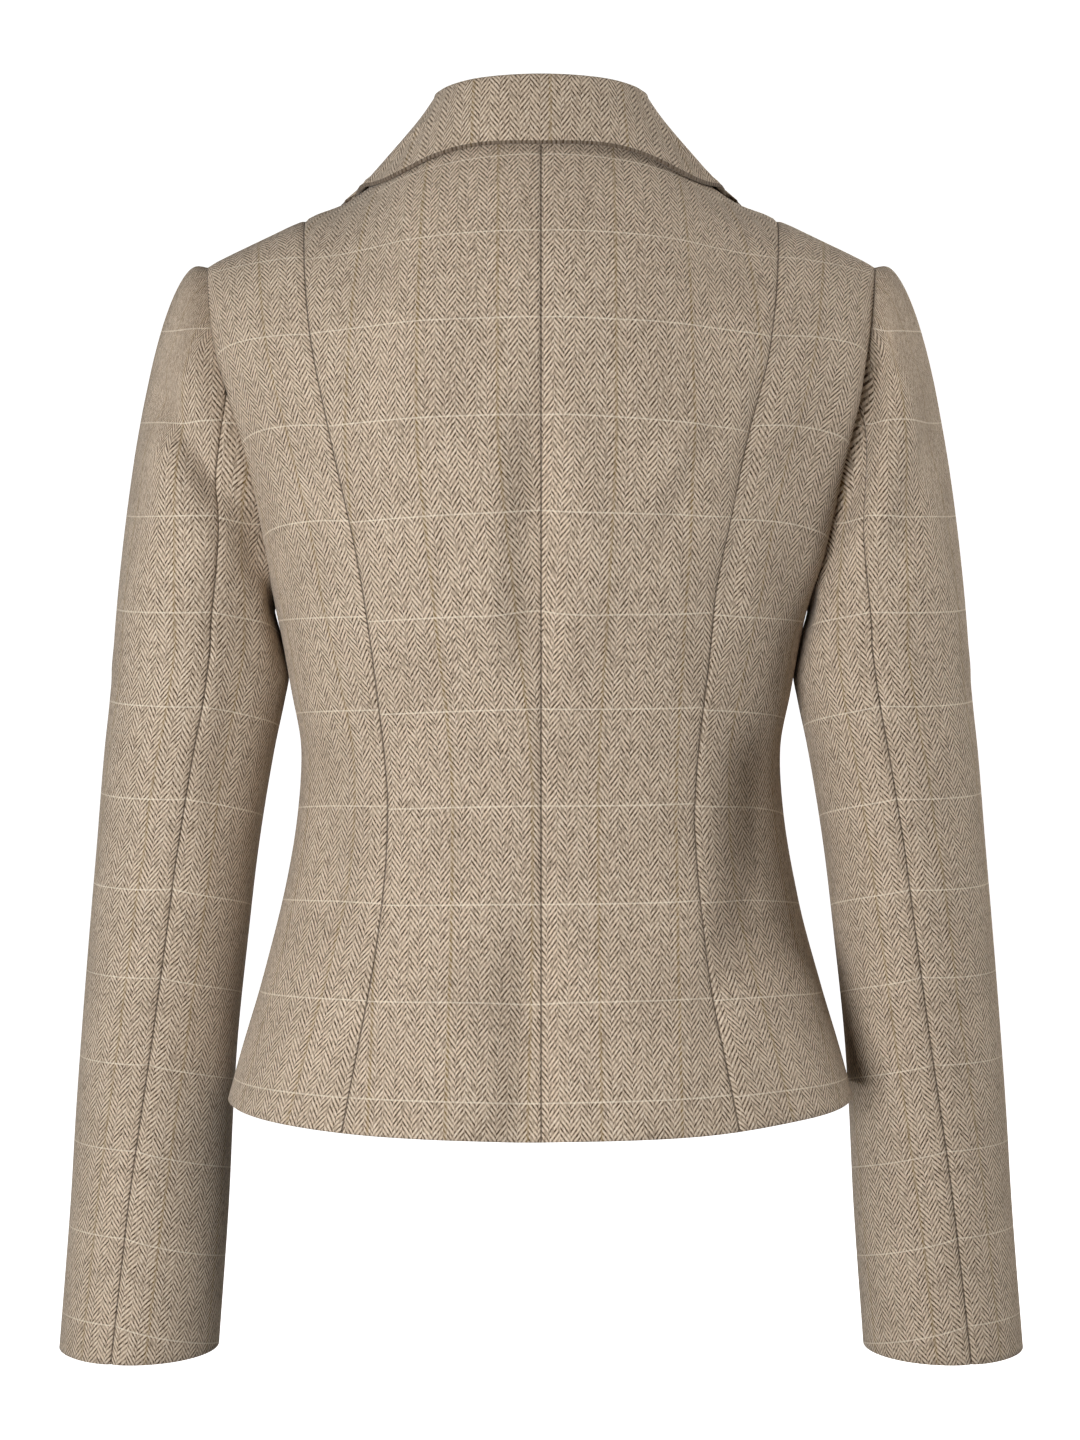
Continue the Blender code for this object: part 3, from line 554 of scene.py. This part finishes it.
def dressPanel(node, points, normals, flatMap, seams, folds, mirrored, level=None, armhole=""):
    away = drawn = seamDistance(points, seams)
    if armhole:  # drawn in along the side seam, flat round the armhole
        above = fade(level, backCloth["armholeFrom"])
        edge = seamDistance(points, [armhole])
        # the painted seam shade reaches further from the armhole's edge
        away = np.minimum(away, edge * (1 - backCloth["armholeThinner"] * above))
        drawn = np.minimum(drawn, edge + backCloth["armholeFlat"] * above)
        groove = grooveAt(mirrored)(level - 1) * above
        points = points - normals * (groove * np.exp(-(edge / backCloth["groove"]["reach"]) ** 2))[..., None]
    points = sewnIn(points, normals, drawn)
    points, normals = mirrorX(points, mirrored), mirrorX(normals, mirrored)
    towardsFront = 1.0 if node.startswith("front") else ease(-points[..., 1] / backCloth["foldEnd"])
    points = points + normals * (foldShift(points, folds) * towardsFront)[..., None]
    points[..., 1] += setBack(points)
    piece = clothShell(f"cloth_{node}", points, normals, flatMap, body["wall"], away)
    sewOn(piece, node, points)


makeBacks()
print("backs sewn")


# fronts, plain, the right one lapped over the left

frontCloth = {
    "lap": 18.0, "breakZ": -292.0, "lapPast": 2.0, "lapEase": 45.0, "layerGap": 0.5,
    "columns": 62, "stripeAt": 20.0, "edgeRounds": 30,
    "folds": [(-60, -330, -120, -300, 14, -1.4), (58, -338, 124, -306, 14, -1.6),
              (-40, -410, -52, -510, 18, 1.3), (52, -400, 66, -510, 18, 1.5),
              (-112, -410, -126, -510, 16, -1.4), (116, -420, 132, -510, 16, -1.2),
              (-150, -130, -112, -190, 13, -1.6), (150, -122, 110, -196, 13, -1.8)],
}


def breakX(z):
    share = (z - frontCloth["breakZ"]) / (body["neckZ"] - frontCloth["breakZ"])
    return -frontCloth["lap"] + np.maximum(share, 0) * (body["neckX"] + frontCloth["lap"])


def frontEdgeX(level):
    x = np.full_like(level, body["neckX"])
    for _ in range(frontCloth["edgeRounds"]):
        x = 0.5 * x + 0.5 * breakX(bodyPoint(angleAt(x, level, True), level)[..., 2])
    return np.where(level > body["ridgeLevel"], body["neckX"], x)


def overLift(x):
    full = body["wall"] + frontCloth["layerGap"]
    return full * (1 - ease((x - frontCloth["lap"] - frontCloth["lapPast"]) / frontCloth["lapEase"]))


def makeFronts():
    shares = closeEdges(frontCloth["columns"])
    level = np.repeat(bodyLevels(2.0), len(shares), 1)
    edgeX = frontEdgeX(level[:, 0])
    rise = np.clip(level[:, 0] - 1, 0, 1)
    start = np.where(level[:, 0] <= 1, 90.0, 90 + armholeFrontAt(rise))
    stop = angleAt(edgeX, level[:, 0], True)
    angle = start[:, None] + (stop - start)[:, None] * shares[None]
    for word, mirrored in (("right", False), ("left", True)):
        points, normals = bodyPoint(angle, level), bodyNormal(angle, level)
        across = runLength(points, 1)
        across = across[:, -1:] - across + edgeX[:, None]
        flatMap = bodyMap(points, across - frontCloth["stripeAt"])
        if not mirrored:
            points = points + normals * overLift(points[..., 0])[..., None]
        dressPanel(f"front_{word}", points, normals, flatMap, ["top"], frontCloth["folds"],
                   mirrored, level, "left")


makeFronts()
print("fronts sewn")


# lapels, lying on the fronts

lapelCloth = {"wall": 2.4, "tip": (124.0, -62.0), "gorgeZ": -25.0, "belly": 9.0, "roll": 2.6,
              "rows": 90, "columns": 34, "start": {"right": 0.03, "left": 0.26}, "clear": 2.0,
              "mapAt": (8.0, 16.0), "rimRound": 0.9}


def makeLapels():
    fold, foot = lapelCloth, np.array([-frontCloth["lap"], frontCloth["breakZ"]])
    along = np.array(fold["tip"]) - foot
    out = -unit(np.array([-along[1], along[0]])) * fold["belly"]
    for word, mirrored in (("right", False), ("left", True)):
        share = np.linspace(fold["start"][word], 1, fold["rows"])
        outer = foot + along * share[:, None] + out * np.sin(np.pi * share)[:, None]
        z = frontCloth["breakZ"] + (fold["gorgeZ"] - frontCloth["breakZ"]) * share
        foldX = breakX(z)
        if mirrored:
            foldX = np.maximum(foldX, fold["clear"] - foldX + fold["roll"])
        line = np.stack([foldX, z], -1)
        across = closeEdges(fold["columns"])[None, :, None]
        place = line[:, None] + (outer - line)[:, None] * across
        x, height = place[..., 0], place[..., 1]
        lift = fold["wall"] + 2 * frontCloth["layerGap"] + fold["roll"] * (1 - across[..., 0]) ** 2
        lift = lift + (0 if mirrored else overLift(x))
        level = levelAt(x, height)
        normals = bodyNormal(angleAt(x, level, True), level)
        points = onBody(x, height, True, lift)
        flatMap = np.stack([runLength(points, 1), runLength(points, 0)], -1) + np.array(fold["mapAt"])
        points, normals = mirrorX(points, mirrored), mirrorX(normals, mirrored)
        away = np.full(points.shape[:2], noSeam)
        piece = clothShell(f"cloth_lapel_{word}", points, normals, flatMap, fold["wall"], away,
                           fold["rimRound"])
        sewOn(piece, f"lapel_{word}", points)


makeLapels()
print("lapels sewn")


# collar, one piece from the neck seam up the stand, over the roll and down the fall

collarCloth = {
    "wall": 2.4, "roll": 11.0, "stations": 181, "standLines": 14, "standEnd": 0.96,
    "fallLines": 34, "crowding": 1.15,
    "footUp": 1.2, "footIn": 1.0, "tuckDown": 2.6, "tuckIn": 3.4, "tuckEnd": (0.8, 0.25),
    "lift": 2.9, "lifted": 2.6, "liftedEnd": (0.3, 0.5), "tipDrop": 0.4, "tipFrom": (0.7, 0.2),
    "bulge": 1.3, "slopeBulge": 0.55, "bulgeEnd": (0.3, 0.4), "frontTurn": 0.6, "onFrontFrom": 1.4,
    "stripeAt": 5.0, "paneBelow": 1.5, "rimRound": 0.9,
    "sections": [  # share, stand, lean, edge x, edge z
        (-0.30, 33.0, 6.0, -31, 26.5), (0.00, 34.0, 5.0, 0, 27.0), (0.30, 33.0, 6.0, 31, 26.5),
        (0.55, 31.0, 10.0, 56, 22.0), (0.80, 29.0, 14.5, 82, 12.5), (1.00, 27.0, 17.5, 104, 7.6),
        (1.20, 25.0, 16.5, 111, 0.0), (1.45, 21.0, 12.0, 115, -9.0), (1.70, 15.0, 7.0, 116, -17.0),
        (2.00, 7.0, 1.0, 112, -24.0)],
}


def neckSeam(share):
    x = body["neckX"] * np.sin(np.minimum(share, 1) * math.pi / 2)
    top = necklineTop(x)
    atBack = bodyPoint(angleAt(x, top, False), top)
    z = body["neckZ"] + (lapelCloth["gorgeZ"] - body["neckZ"]) * (share - 1)
    frontX = breakX(z)
    level = levelAt(frontX, z)
    return np.where((share <= 1)[..., None], atBack, bodyPoint(angleAt(frontX, level, True), level))


def makeCollar():
    cut = collarCloth
    signed = np.linspace(-2, 2, cut["stations"])
    share = np.abs(signed)
    stand, lean, edgeX, edgeZ = [curve(cut["sections"], column)(share) for column in (1, 2, 3, 4)]
    seam = neckSeam(share)
    outY = (seam[:, 1] - body["ridgeY"]) * np.where(share <= 1, 1.0, cut["frontTurn"])
    outward = unit(np.stack([seam[:, 0], outY, 0 * share], -1))
    up = np.array([0.0, 0.0, 1.0])
    tuck = (1 - fade(share, cut["tuckEnd"]))[:, None]  # at the back the stand starts inside the neckline
    footUp, footIn = cut["footUp"] - cut["tuckDown"] * tuck, cut["footIn"] + cut["tuckIn"] * tuck
    foot = seam + footUp * up - footIn * outward
    roll = seam + stand[:, None] * up - outward * lean[:, None]
    lift = cut["lift"] + cut["lifted"] * (1 - fade(share, cut["liftedEnd"]))
    lift = lift - cut["tipDrop"] * fade(share, cut["tipFrom"])
    bulge = (cut["bulge"] + (cut["slopeBulge"] - cut["bulge"]) * fade(share, cut["bulgeEnd"]))[:, None]
    edge = onBody(edgeX, edgeZ, share > 1, lift)
    over = outward * cut["roll"]
    standAt = np.linspace(0, cut["standEnd"], cut["standLines"])
    fallAt = np.linspace(0, 1, cut["fallLines"]) ** cut["crowding"]
    lines = [hermite(foot, stand[:, None] * up, roll, over, t) for t in standAt]
    onFront = (share > cut["onFrontFrom"])[:, None]
    lines = [np.where(onFront, clearOfBody(line, lift), line) for line in lines]
    lines += [clearOfBody(hermite(roll, over * bulge, edge, edge - roll, t), lift) for t in fallAt]
    points = np.stack(lines, 1)
    points[..., 0] *= np.where(signed < 0, -1.0, 1.0)[:, None]
    normals = unit(np.cross(np.gradient(points, axis=0), np.gradient(points, axis=1)))
    if normals[len(points) // 2, -1][1] > 0:
        normals = -normals
    along = runLength(points, 0)
    along = along - along[len(points) // 2]
    down = runLength(points, 1)
    flatMap = np.stack([along - cut["stripeAt"], down[:, -1:] + cut["paneBelow"] - down], -1)
    # painted shade along the fall's lower edge, standing in for the shadow line under it
    away = seamDistance(points, ["right"])
    piece = clothShell("cloth_collar", points, normals, flatMap, cut["wall"], away, cut["rimRound"])
    sewOn(piece, "collar", points)


makeCollar()
print("collar sewn")


# sleeves: under piece from the elbow seam to the front seam, top piece over the outer side

sleeveCloth = {
    "lift": 2.3, "sunk": 2.8, "sunkReach": 4.2, "frontSeam": 238.0, "stripeAt": 20.0, "armholeSteps": 181,
    "capSeam": [(0.0, 79.5), (0.1, 86.8), (0.2, 93.2), (0.4, 102.0), (0.7, 108.0), (1.0, 106.0)],
    "fullness": 0.38, "frontFullness": 0.20, "drop": 1.0, "spread": 1.4, "underarmDrop": 0.95,
    "leaveUp": 0.1, "leaveDown": 0.55, "topStep": 20.0, "turnStep": 0.8, "lengthStep": 0.006,
    "firstRows": [0.0, 0.006, 0.012, 0.019, 0.027], "capFrom": 0.036, "capRows": 56, "armRows": 110,
    "topColumns": 64, "underColumns": 40, "levelZ": -324.0, "underSlope": 0.20,
    "foldsFrom": 9.0, "foldsFacing": 2.0, "uprightFrom": 0.97, "uprightOver": 0.5,
    "rings": [  # height, centre x, centre y, half width, half depth, elbow seam degrees
        (-240, 191.6, 4, 46.8, 63, 106), (-258, 190.6, 5, 49.4, 62, 101), (-272, 192.4, 6, 48.8, 61, 100.5),
        (-300, 197.0, 7, 47.4, 59, 99.5), (-354, 204.3, 12, 45.4, 56, 97), (-409, 211.0, 22, 44.8, 54, 94.5),
        (-465, 217.4, 33, 44.4, 52, 91), (-508, 221.4, 42, 44.8, 51, 86.5), (-565, 225.5, 50, 45.4, 50, 80.5),
        (-650, 233.0, 59, 46.0, 49, 76)],
    "folds": {  # from x, from z, to x, to z, half width, depth, on each sleeve's side towards the back
        "right": [(157, -208, 151, -246, 9, 3.6), (187, -72, 170, -158, 9, -4.0),
                  (201, -98, 181, -176, 11, 2.6), (214, -120, 190, -205, 10, -2.4),
                  (232, -330, 196, -352, 13, -2.2), (181, -84, 157, -172, 9, -5.0),
                  (200, -130, 182, -180, 8, 1.6), (178, -250, 200, -296, 10, -1.6),
                  (208, -420, 240, -448, 12, -1.3), (226, -520, 246, -560, 12, 1.0)],
        "left": [(157, -208, 151, -246, 9, 3.6), (208, -102, 176, -150, 9, -4.0),
                 (212, -135, 180, -182, 11, 2.6), (234, -342, 198, -368, 13, -2.2),
                 (204, -108, 172, -158, 8, -2.4), (166, -262, 178, -330, 10, -2.4),
                 (198, -236, 222, -268, 11, -1.4), (200, -440, 230, -462, 12, -1.3),
                 (222, -530, 240, -566, 12, 1.0)]},
}
sleeveAt = [curve(sleeveCloth["rings"], column) for column in range(1, 6)]
capSeamAt = curve(sleeveCloth["capSeam"], 1)


def sleeveRing(turn, height):
    swing = np.radians(turn)
    x = sleeveAt[0](height) + sleeveAt[2](height) * np.cos(swing)
    y = sleeveAt[1](height) - sleeveAt[3](height) * np.sin(swing)
    return np.stack([x, y, height + 0 * x], -1)


def armholePlace(turn):
    rise = (1 + np.cos(np.radians(turn))) / 2
    angle = np.where(np.sin(np.radians(turn)) < 0, 90 + armholeFrontAt(rise), 90 - armholeBackAt(rise))
    return angle, 1 + rise


def armholePoint(turn):
    angle, level = armholePlace(turn)
    return bodyPoint(angle, level) + sleeveCloth["lift"] * bodyNormal(angle, level)


def armHeight(length):  # length 1 is where the cap ends, 2 the cuff
    top, cuff = sleeveCloth["rings"][0][0], sleeveCloth["rings"][-1][0]
    return top + np.maximum(length - 1, 0) * (cuff - top)


def sleevePoint(turn, length):
    cut, top, swing = sleeveCloth, sleeveCloth["rings"][0][0], np.radians(turn)
    arm = sleeveRing(turn, armHeight(length))
    start, stop = armholePoint(turn), sleeveRing(turn, np.full_like(turn, top))
    out = 1 - cut["underarmDrop"] * ease(-np.cos(swing))
    rise = cut["leaveUp"] - cut["leaveDown"] * (1 - np.cos(swing))
    leave = unit(np.stack([out, -cut["spread"] * np.sin(swing), rise], -1))
    down = unit(sleeveRing(turn, np.full_like(turn, top - cut["topStep"])) - stop)
    reach = np.linalg.norm(stop - start, axis=-1, keepdims=True)
    fullness = (cut["fullness"] + cut["frontFullness"] * ease(-np.sin(swing)))[..., None]
    cap = hermite(start, leave * reach * fullness, stop, down * reach * cut["drop"],
                  np.minimum(length, 1)[..., None])
    return np.where((length >= 1)[..., None], arm, cap)


def sleeveNormal(turn, length):
    swing, step = sleeveCloth["turnStep"], sleeveCloth["lengthStep"]
    around = sleevePoint(turn + swing, length) - sleevePoint(turn - swing, length)
    down = sleevePoint(turn, np.minimum(length + step, 2)) - sleevePoint(turn, np.maximum(length - step, 0))
    return unit(np.cross(around, down))


def elbowSeam(length):
    return np.where(length >= 1, sleeveAt[4](armHeight(length)), capSeamAt(length))


def capMap(points, turn, flatMap, arm):  # the cap's cloth runs on level and upright from the arm below it
    height, centreX, centreY, halfWidth, halfDepth, _ = sleeveCloth["rings"][0]
    back, out = (centreY - points[:arm, :, 1]) / halfDepth, (points[:arm, :, 0] - centreX) / halfWidth
    swing = np.degrees(np.arctan2(back, out))
    swing = swing + 360 * np.round((turn[:arm] - swing) / 360)
    first, last = turn[arm, 0], turn[arm, -1]
    at = np.clip(swing, first, last)
    slope = np.gradient(flatMap[arm, :, 0], turn[arm])
    beyond = (swing - at) * np.where(swing > last, slope[-1], slope[0])
    u = np.interp(at, turn[arm], flatMap[arm, :, 0]) + beyond
    v = np.interp(at, turn[arm], flatMap[arm, :, 1]) + points[:arm, :, 2] - height
    fromTop = sleeveCloth["uprightFrom"] - np.cos(np.radians(turn[:arm]))
    upright = ease(fromTop / sleeveCloth["uprightOver"])[..., None]
    cap = np.stack([u, v], -1) * upright + flatMap[:arm] * (1 - upright)
    return np.concatenate([cap, flatMap[arm:]])


def makeSleeves():
    cut = sleeveCloth
    capLengths = np.linspace(cut["capFrom"], 1, cut["capRows"], endpoint=False)
    lengths = np.concatenate([cut["firstRows"], capLengths, np.linspace(1, 2, cut["armRows"])])
    arm = int(np.argmax(lengths >= 1))
    armhole = armholePoint(np.linspace(0, 360, cut["armholeSteps"]))
    seam = elbowSeam(lengths)
    front = np.full_like(seam, cut["frontSeam"])
    for word, mirrored in (("right", False), ("left", True)):
        for part, start, stop, columns in (("under", seam, front, cut["underColumns"]),
                                           ("top", front, seam + 360, cut["topColumns"])):
            shares = closeEdges(columns)[None]
            turn = start[:, None] + (stop - start)[:, None] * shares
            length = np.repeat(lengths[:, None], turn.shape[1], 1)
            points, normals = sleevePoint(turn, length), sleeveNormal(turn, length)
            down, across = runLength(points, 0), runLength(points, 1)
            row = int(np.argmin(np.abs(points[:, 0, 2] - cut["levelZ"])))
            seamSide = 0 if part == "under" else across.shape[1] - 1
            fromSeam = np.abs(across - across[:, seamSide:seamSide + 1])
            level = down[row] - down + points[row, :, 2] - cut["levelZ"]
            if part == "under":
                level = level + fromSeam * cut["underSlope"]
            flatMap = capMap(points, turn, np.stack([fromSeam - cut["stripeAt"], level], -1), arm)
            near = np.linalg.norm(points[:, :, None] - armhole, axis=-1).min(-1)
            sides = seamDistance(points, ["left", "right"])
            # painted seam shade along both sleeve seams and round the armhole
            away = np.minimum(sides, near)
            points = sewnIn(points, normals, sides)
            groove = grooveAt(mirrored)((1 + np.cos(np.radians(turn))) / 2)
            sunk = (cut["sunk"] + groove) * np.exp(-(near / (cut["sunkReach"] + groove)) ** 2)
            points = points - bodyNormal(*armholePlace(turn[:1])) * sunk[..., None]
            shown = ease(cut["foldsFrom"] * length) * ease(cut["foldsFacing"] * -normals[..., 1])
            points = points + normals * (foldShift(points, cut["folds"][word]) * shown)[..., None]
            points, normals = mirrorX(points, mirrored), mirrorX(normals, mirrored)
            piece = clothShell(f"cloth_sleeve_{part}_{word}", points, normals, flatMap, body["wall"], away)
            sewOn(piece, f"sleeve_{part}_{word}", points)


makeSleeves()
print("sleeves sewn")


# buttons: turned discs with a rim and four holes

buttonLook = {"heights": (-308.0, -394.0), "radius": 10.5, "thick": 4.0, "rim": 1.6, "holeRadius": 0.95,
              "holeFrom": 2.3, "holeDepth": 12.0, "holeSides": 20, "steps": 72, "weld": 0.02,
              "brown": colour(84, 62, 46), "amber": colour(128, 98, 72),
              "profile": [  # shares of the radius out, of the thickness up and of the rim down
                  (0, 0, 0), (0.78, 0, 0), (0.94, 0.22, 0), (1, 0.5, 0), (0.985, 0.78, 0), (0.93, 0.95, 0),
                  (0.85, 1, 0), (0.76, 0.94, 0), (0.68, 1, 0.75), (0.58, 1, 1), (0, 1, 1)]}


def makeHorn():
    shop = Shop(bpy.data.materials.new("button_horn"))
    place = shop.make("ShaderNodeTexCoord", None, None, "Object")
    inputs = {"Vector": place, "Scale": 160.0, "Detail": 3.0, "Distortion": 1.2}
    cloud = shop.make("ShaderNodeTexNoise", None, inputs)
    streak = shop.step(cloud, 0.35, 0.68)
    shade = shop.mix(streak, buttonLook["brown"], buttonLook["amber"])
    return shop.finish(Base_Color=shade, Roughness=0.30 + streak * 0.15, Specular_IOR_Level=0.45)


horn = makeHorn()


def makeButton(number, height):
    look = buttonLook
    zero, z = np.array(0.0), np.array(height)
    place = onBody(zero, z, True, overLift(zero) + frontCloth["layerGap"])
    facing = bodyNormal(np.array(180.0), levelAt(zero, z))
    radius, thick, rim = look["radius"], look["thick"], look["rim"]
    profile = [(radius * out, thick * up - rim * down) for out, up, down in look["profile"]]
    shape = bmesh.new()
    verts = [shape.verts.new((x * mm, 0, up * mm)) for x, up in profile]
    edges = [shape.edges.new(pair) for pair in zip(verts, verts[1:])]
    bmesh.ops.spin(shape, geom=verts + edges, axis=(0, 0, 1), cent=(0, 0, 0), steps=look["steps"],
                   angle=2 * math.pi)
    bmesh.ops.remove_doubles(shape, verts=shape.verts, dist=look["weld"] * mm)
    bmesh.ops.recalc_face_normals(shape, faces=shape.faces)
    mesh = bpy.data.meshes.new(f"horn_button_{number}")
    shape.to_mesh(mesh)
    shape.free()
    piece = bpy.data.objects.new(f"horn_button_{number}", mesh)
    bpy.context.scene.collection.objects.link(piece)
    cutter = bmesh.new()
    wide, out = look["holeRadius"] * mm, look["holeFrom"] * mm
    for quarter in range(4):
        swing = math.pi / 4 + quarter * math.pi / 2
        made = bmesh.ops.create_cone(cutter, cap_ends=True, segments=look["holeSides"], radius1=wide,
                                     radius2=wide, depth=look["holeDepth"] * mm)
        aside = (out * math.cos(swing), out * math.sin(swing), 0)
        bmesh.ops.translate(cutter, verts=made["verts"], vec=aside)
    cutMesh = bpy.data.meshes.new("holes")
    cutter.to_mesh(cutMesh)
    cutter.free()
    holes = bpy.data.objects.new("holes", cutMesh)
    bpy.context.scene.collection.objects.link(holes)
    modifier = piece.modifiers.new("holes", "BOOLEAN")
    modifier.object = holes
    modifier.operation = "DIFFERENCE"
    modifier.solver = "EXACT"
    done = bpy.data.meshes.new_from_object(piece.evaluated_get(bpy.context.evaluated_depsgraph_get()))
    piece.modifiers.clear()
    piece.data = done
    bpy.data.objects.remove(holes)
    done.materials.clear()
    done.materials.append(horn)
    piece.location = [float(value) * mm for value in place]
    piece.rotation_euler = (math.atan2(facing[2], facing[1]) - math.pi / 2, 0, 0)
    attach(piece, "root")
    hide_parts(f"button_{number}")


for number, height in enumerate(buttonLook["heights"]):
    makeButton(number + 1, height)
print("buttons sewn on")


# studio: white paper all round that lights nothing, dim air, and lamps from the left, right, above and front

studio = {"floorZ": -0.95, "radius": 9.0, "paper": (0.9, 0.9, 0.9, 1.0), "paperGlow": 1.0,
          "glowTint": (1.0, 1.0, 1.0, 1.0), "floorSides": 96, "domeSides": (64, 32),
          "skyLeft": 0.17, "skyRight": 0.06, "skySpan": 0.8, "skyTint": (1.0, 0.94, 0.86, 1.0)}


def makeStudio():
    shop = Shop(bpy.data.materials.new("studio_paper"))
    paper = shop.finish(Base_Color=studio["paper"], Roughness=0.95, Specular_IOR_Level=0.0,
                        Emission_Color=studio["glowTint"], Emission_Strength=studio["paperGlow"])
    shape = bmesh.new()
    bmesh.ops.create_circle(shape, cap_ends=True, segments=studio["floorSides"], radius=studio["radius"])
    bmesh.ops.translate(shape, verts=shape.verts, vec=(0, 0, studio["floorZ"]))
    dome = bmesh.new()
    around, up = studio["domeSides"]
    bmesh.ops.create_uvsphere(dome, u_segments=around, v_segments=up, radius=studio["radius"])
    for name, made in (("studio_floor", shape), ("studio_dome", dome)):
        mesh = bpy.data.meshes.new(name)
        made.to_mesh(mesh)
        made.free()
        mesh.materials.append(paper)
        stand = bpy.data.objects.new(name, mesh)
        bpy.context.scene.collection.objects.link(stand)
        stand.visible_diffuse = stand.visible_glossy = stand.visible_shadow = False
    air = Shop(bpy.data.worlds.new("studio_air"), "Background")
    place = air.make("ShaderNodeTexCoord", None, None, "Generated")
    across = air.make("ShaderNodeSeparateXYZ", None, {0: place})
    strength = air.make("ShaderNodeMapRange", None, {
        "Value": across, "From Min": -studio["skySpan"], "From Max": studio["skySpan"],
        "To Min": studio["skyLeft"], "To Max": studio["skyRight"]})
    bpy.context.scene.world = air.finish(Color=studio["skyTint"], Strength=strength)


lamps = {  # place, aimed at, size, power, colour
    "key": ((-0.78, -2.05, -0.42), (0.0, 0.0, -0.30), 0.8, 42.8, (1.0, 1.0, 1.0)),
    "fill": ((1.75, 0.30, 0.35), (0.15, 0.0, -0.25), 1.1, 21.0, (1.0, 0.98, 0.95)),
    "top": ((-1.20, -0.90, 1.50), (-0.10, 0.0, -0.05), 0.8, 6.0, (1.0, 0.98, 0.95)),
    "front": ((0.90, 2.20, 0.40), (0.0, 0.0, -0.30), 0.9, 13.0, (1.0, 0.98, 0.95)),
}


def makeLamps():
    for name, (place, aim, size, power, tint) in lamps.items():
        lamp = bpy.data.lights.new(name, "AREA")
        lamp.energy, lamp.size, lamp.color = power, size, tint
        holder = bpy.data.objects.new(name, lamp)
        bpy.context.scene.collection.objects.link(holder)
        holder.location = place
        towards = np.array(aim) - np.array(place)
        holder.rotation_euler = (math.acos(-towards[2] / np.linalg.norm(towards)), 0,
                                 math.atan2(towards[1], towards[0]) - math.pi / 2)


view = {"place": (0.0, -1.867, -0.162), "sensor": 36.0, "lens": 83.65, "tilt": 1.9,
        "shift": (-0.0008, -0.0742), "clip": (0.05, 50.0)}


def makeCamera():
    camera = bpy.data.cameras.new("camera")
    camera.sensor_width, camera.lens = view["sensor"], view["lens"]
    camera.shift_x, camera.shift_y = view["shift"]
    camera.clip_start, camera.clip_end = view["clip"]
    holder = bpy.data.objects.new("camera", camera)
    bpy.context.scene.collection.objects.link(holder)
    holder.location = view["place"]
    holder.rotation_euler = (math.radians(90 - view["tilt"]), 0, 0)
    bpy.context.scene.camera = holder
    bpy.context.scene.view_settings.view_transform = "Standard"


makeStudio()
makeLamps()
makeCamera()
print("studio set")
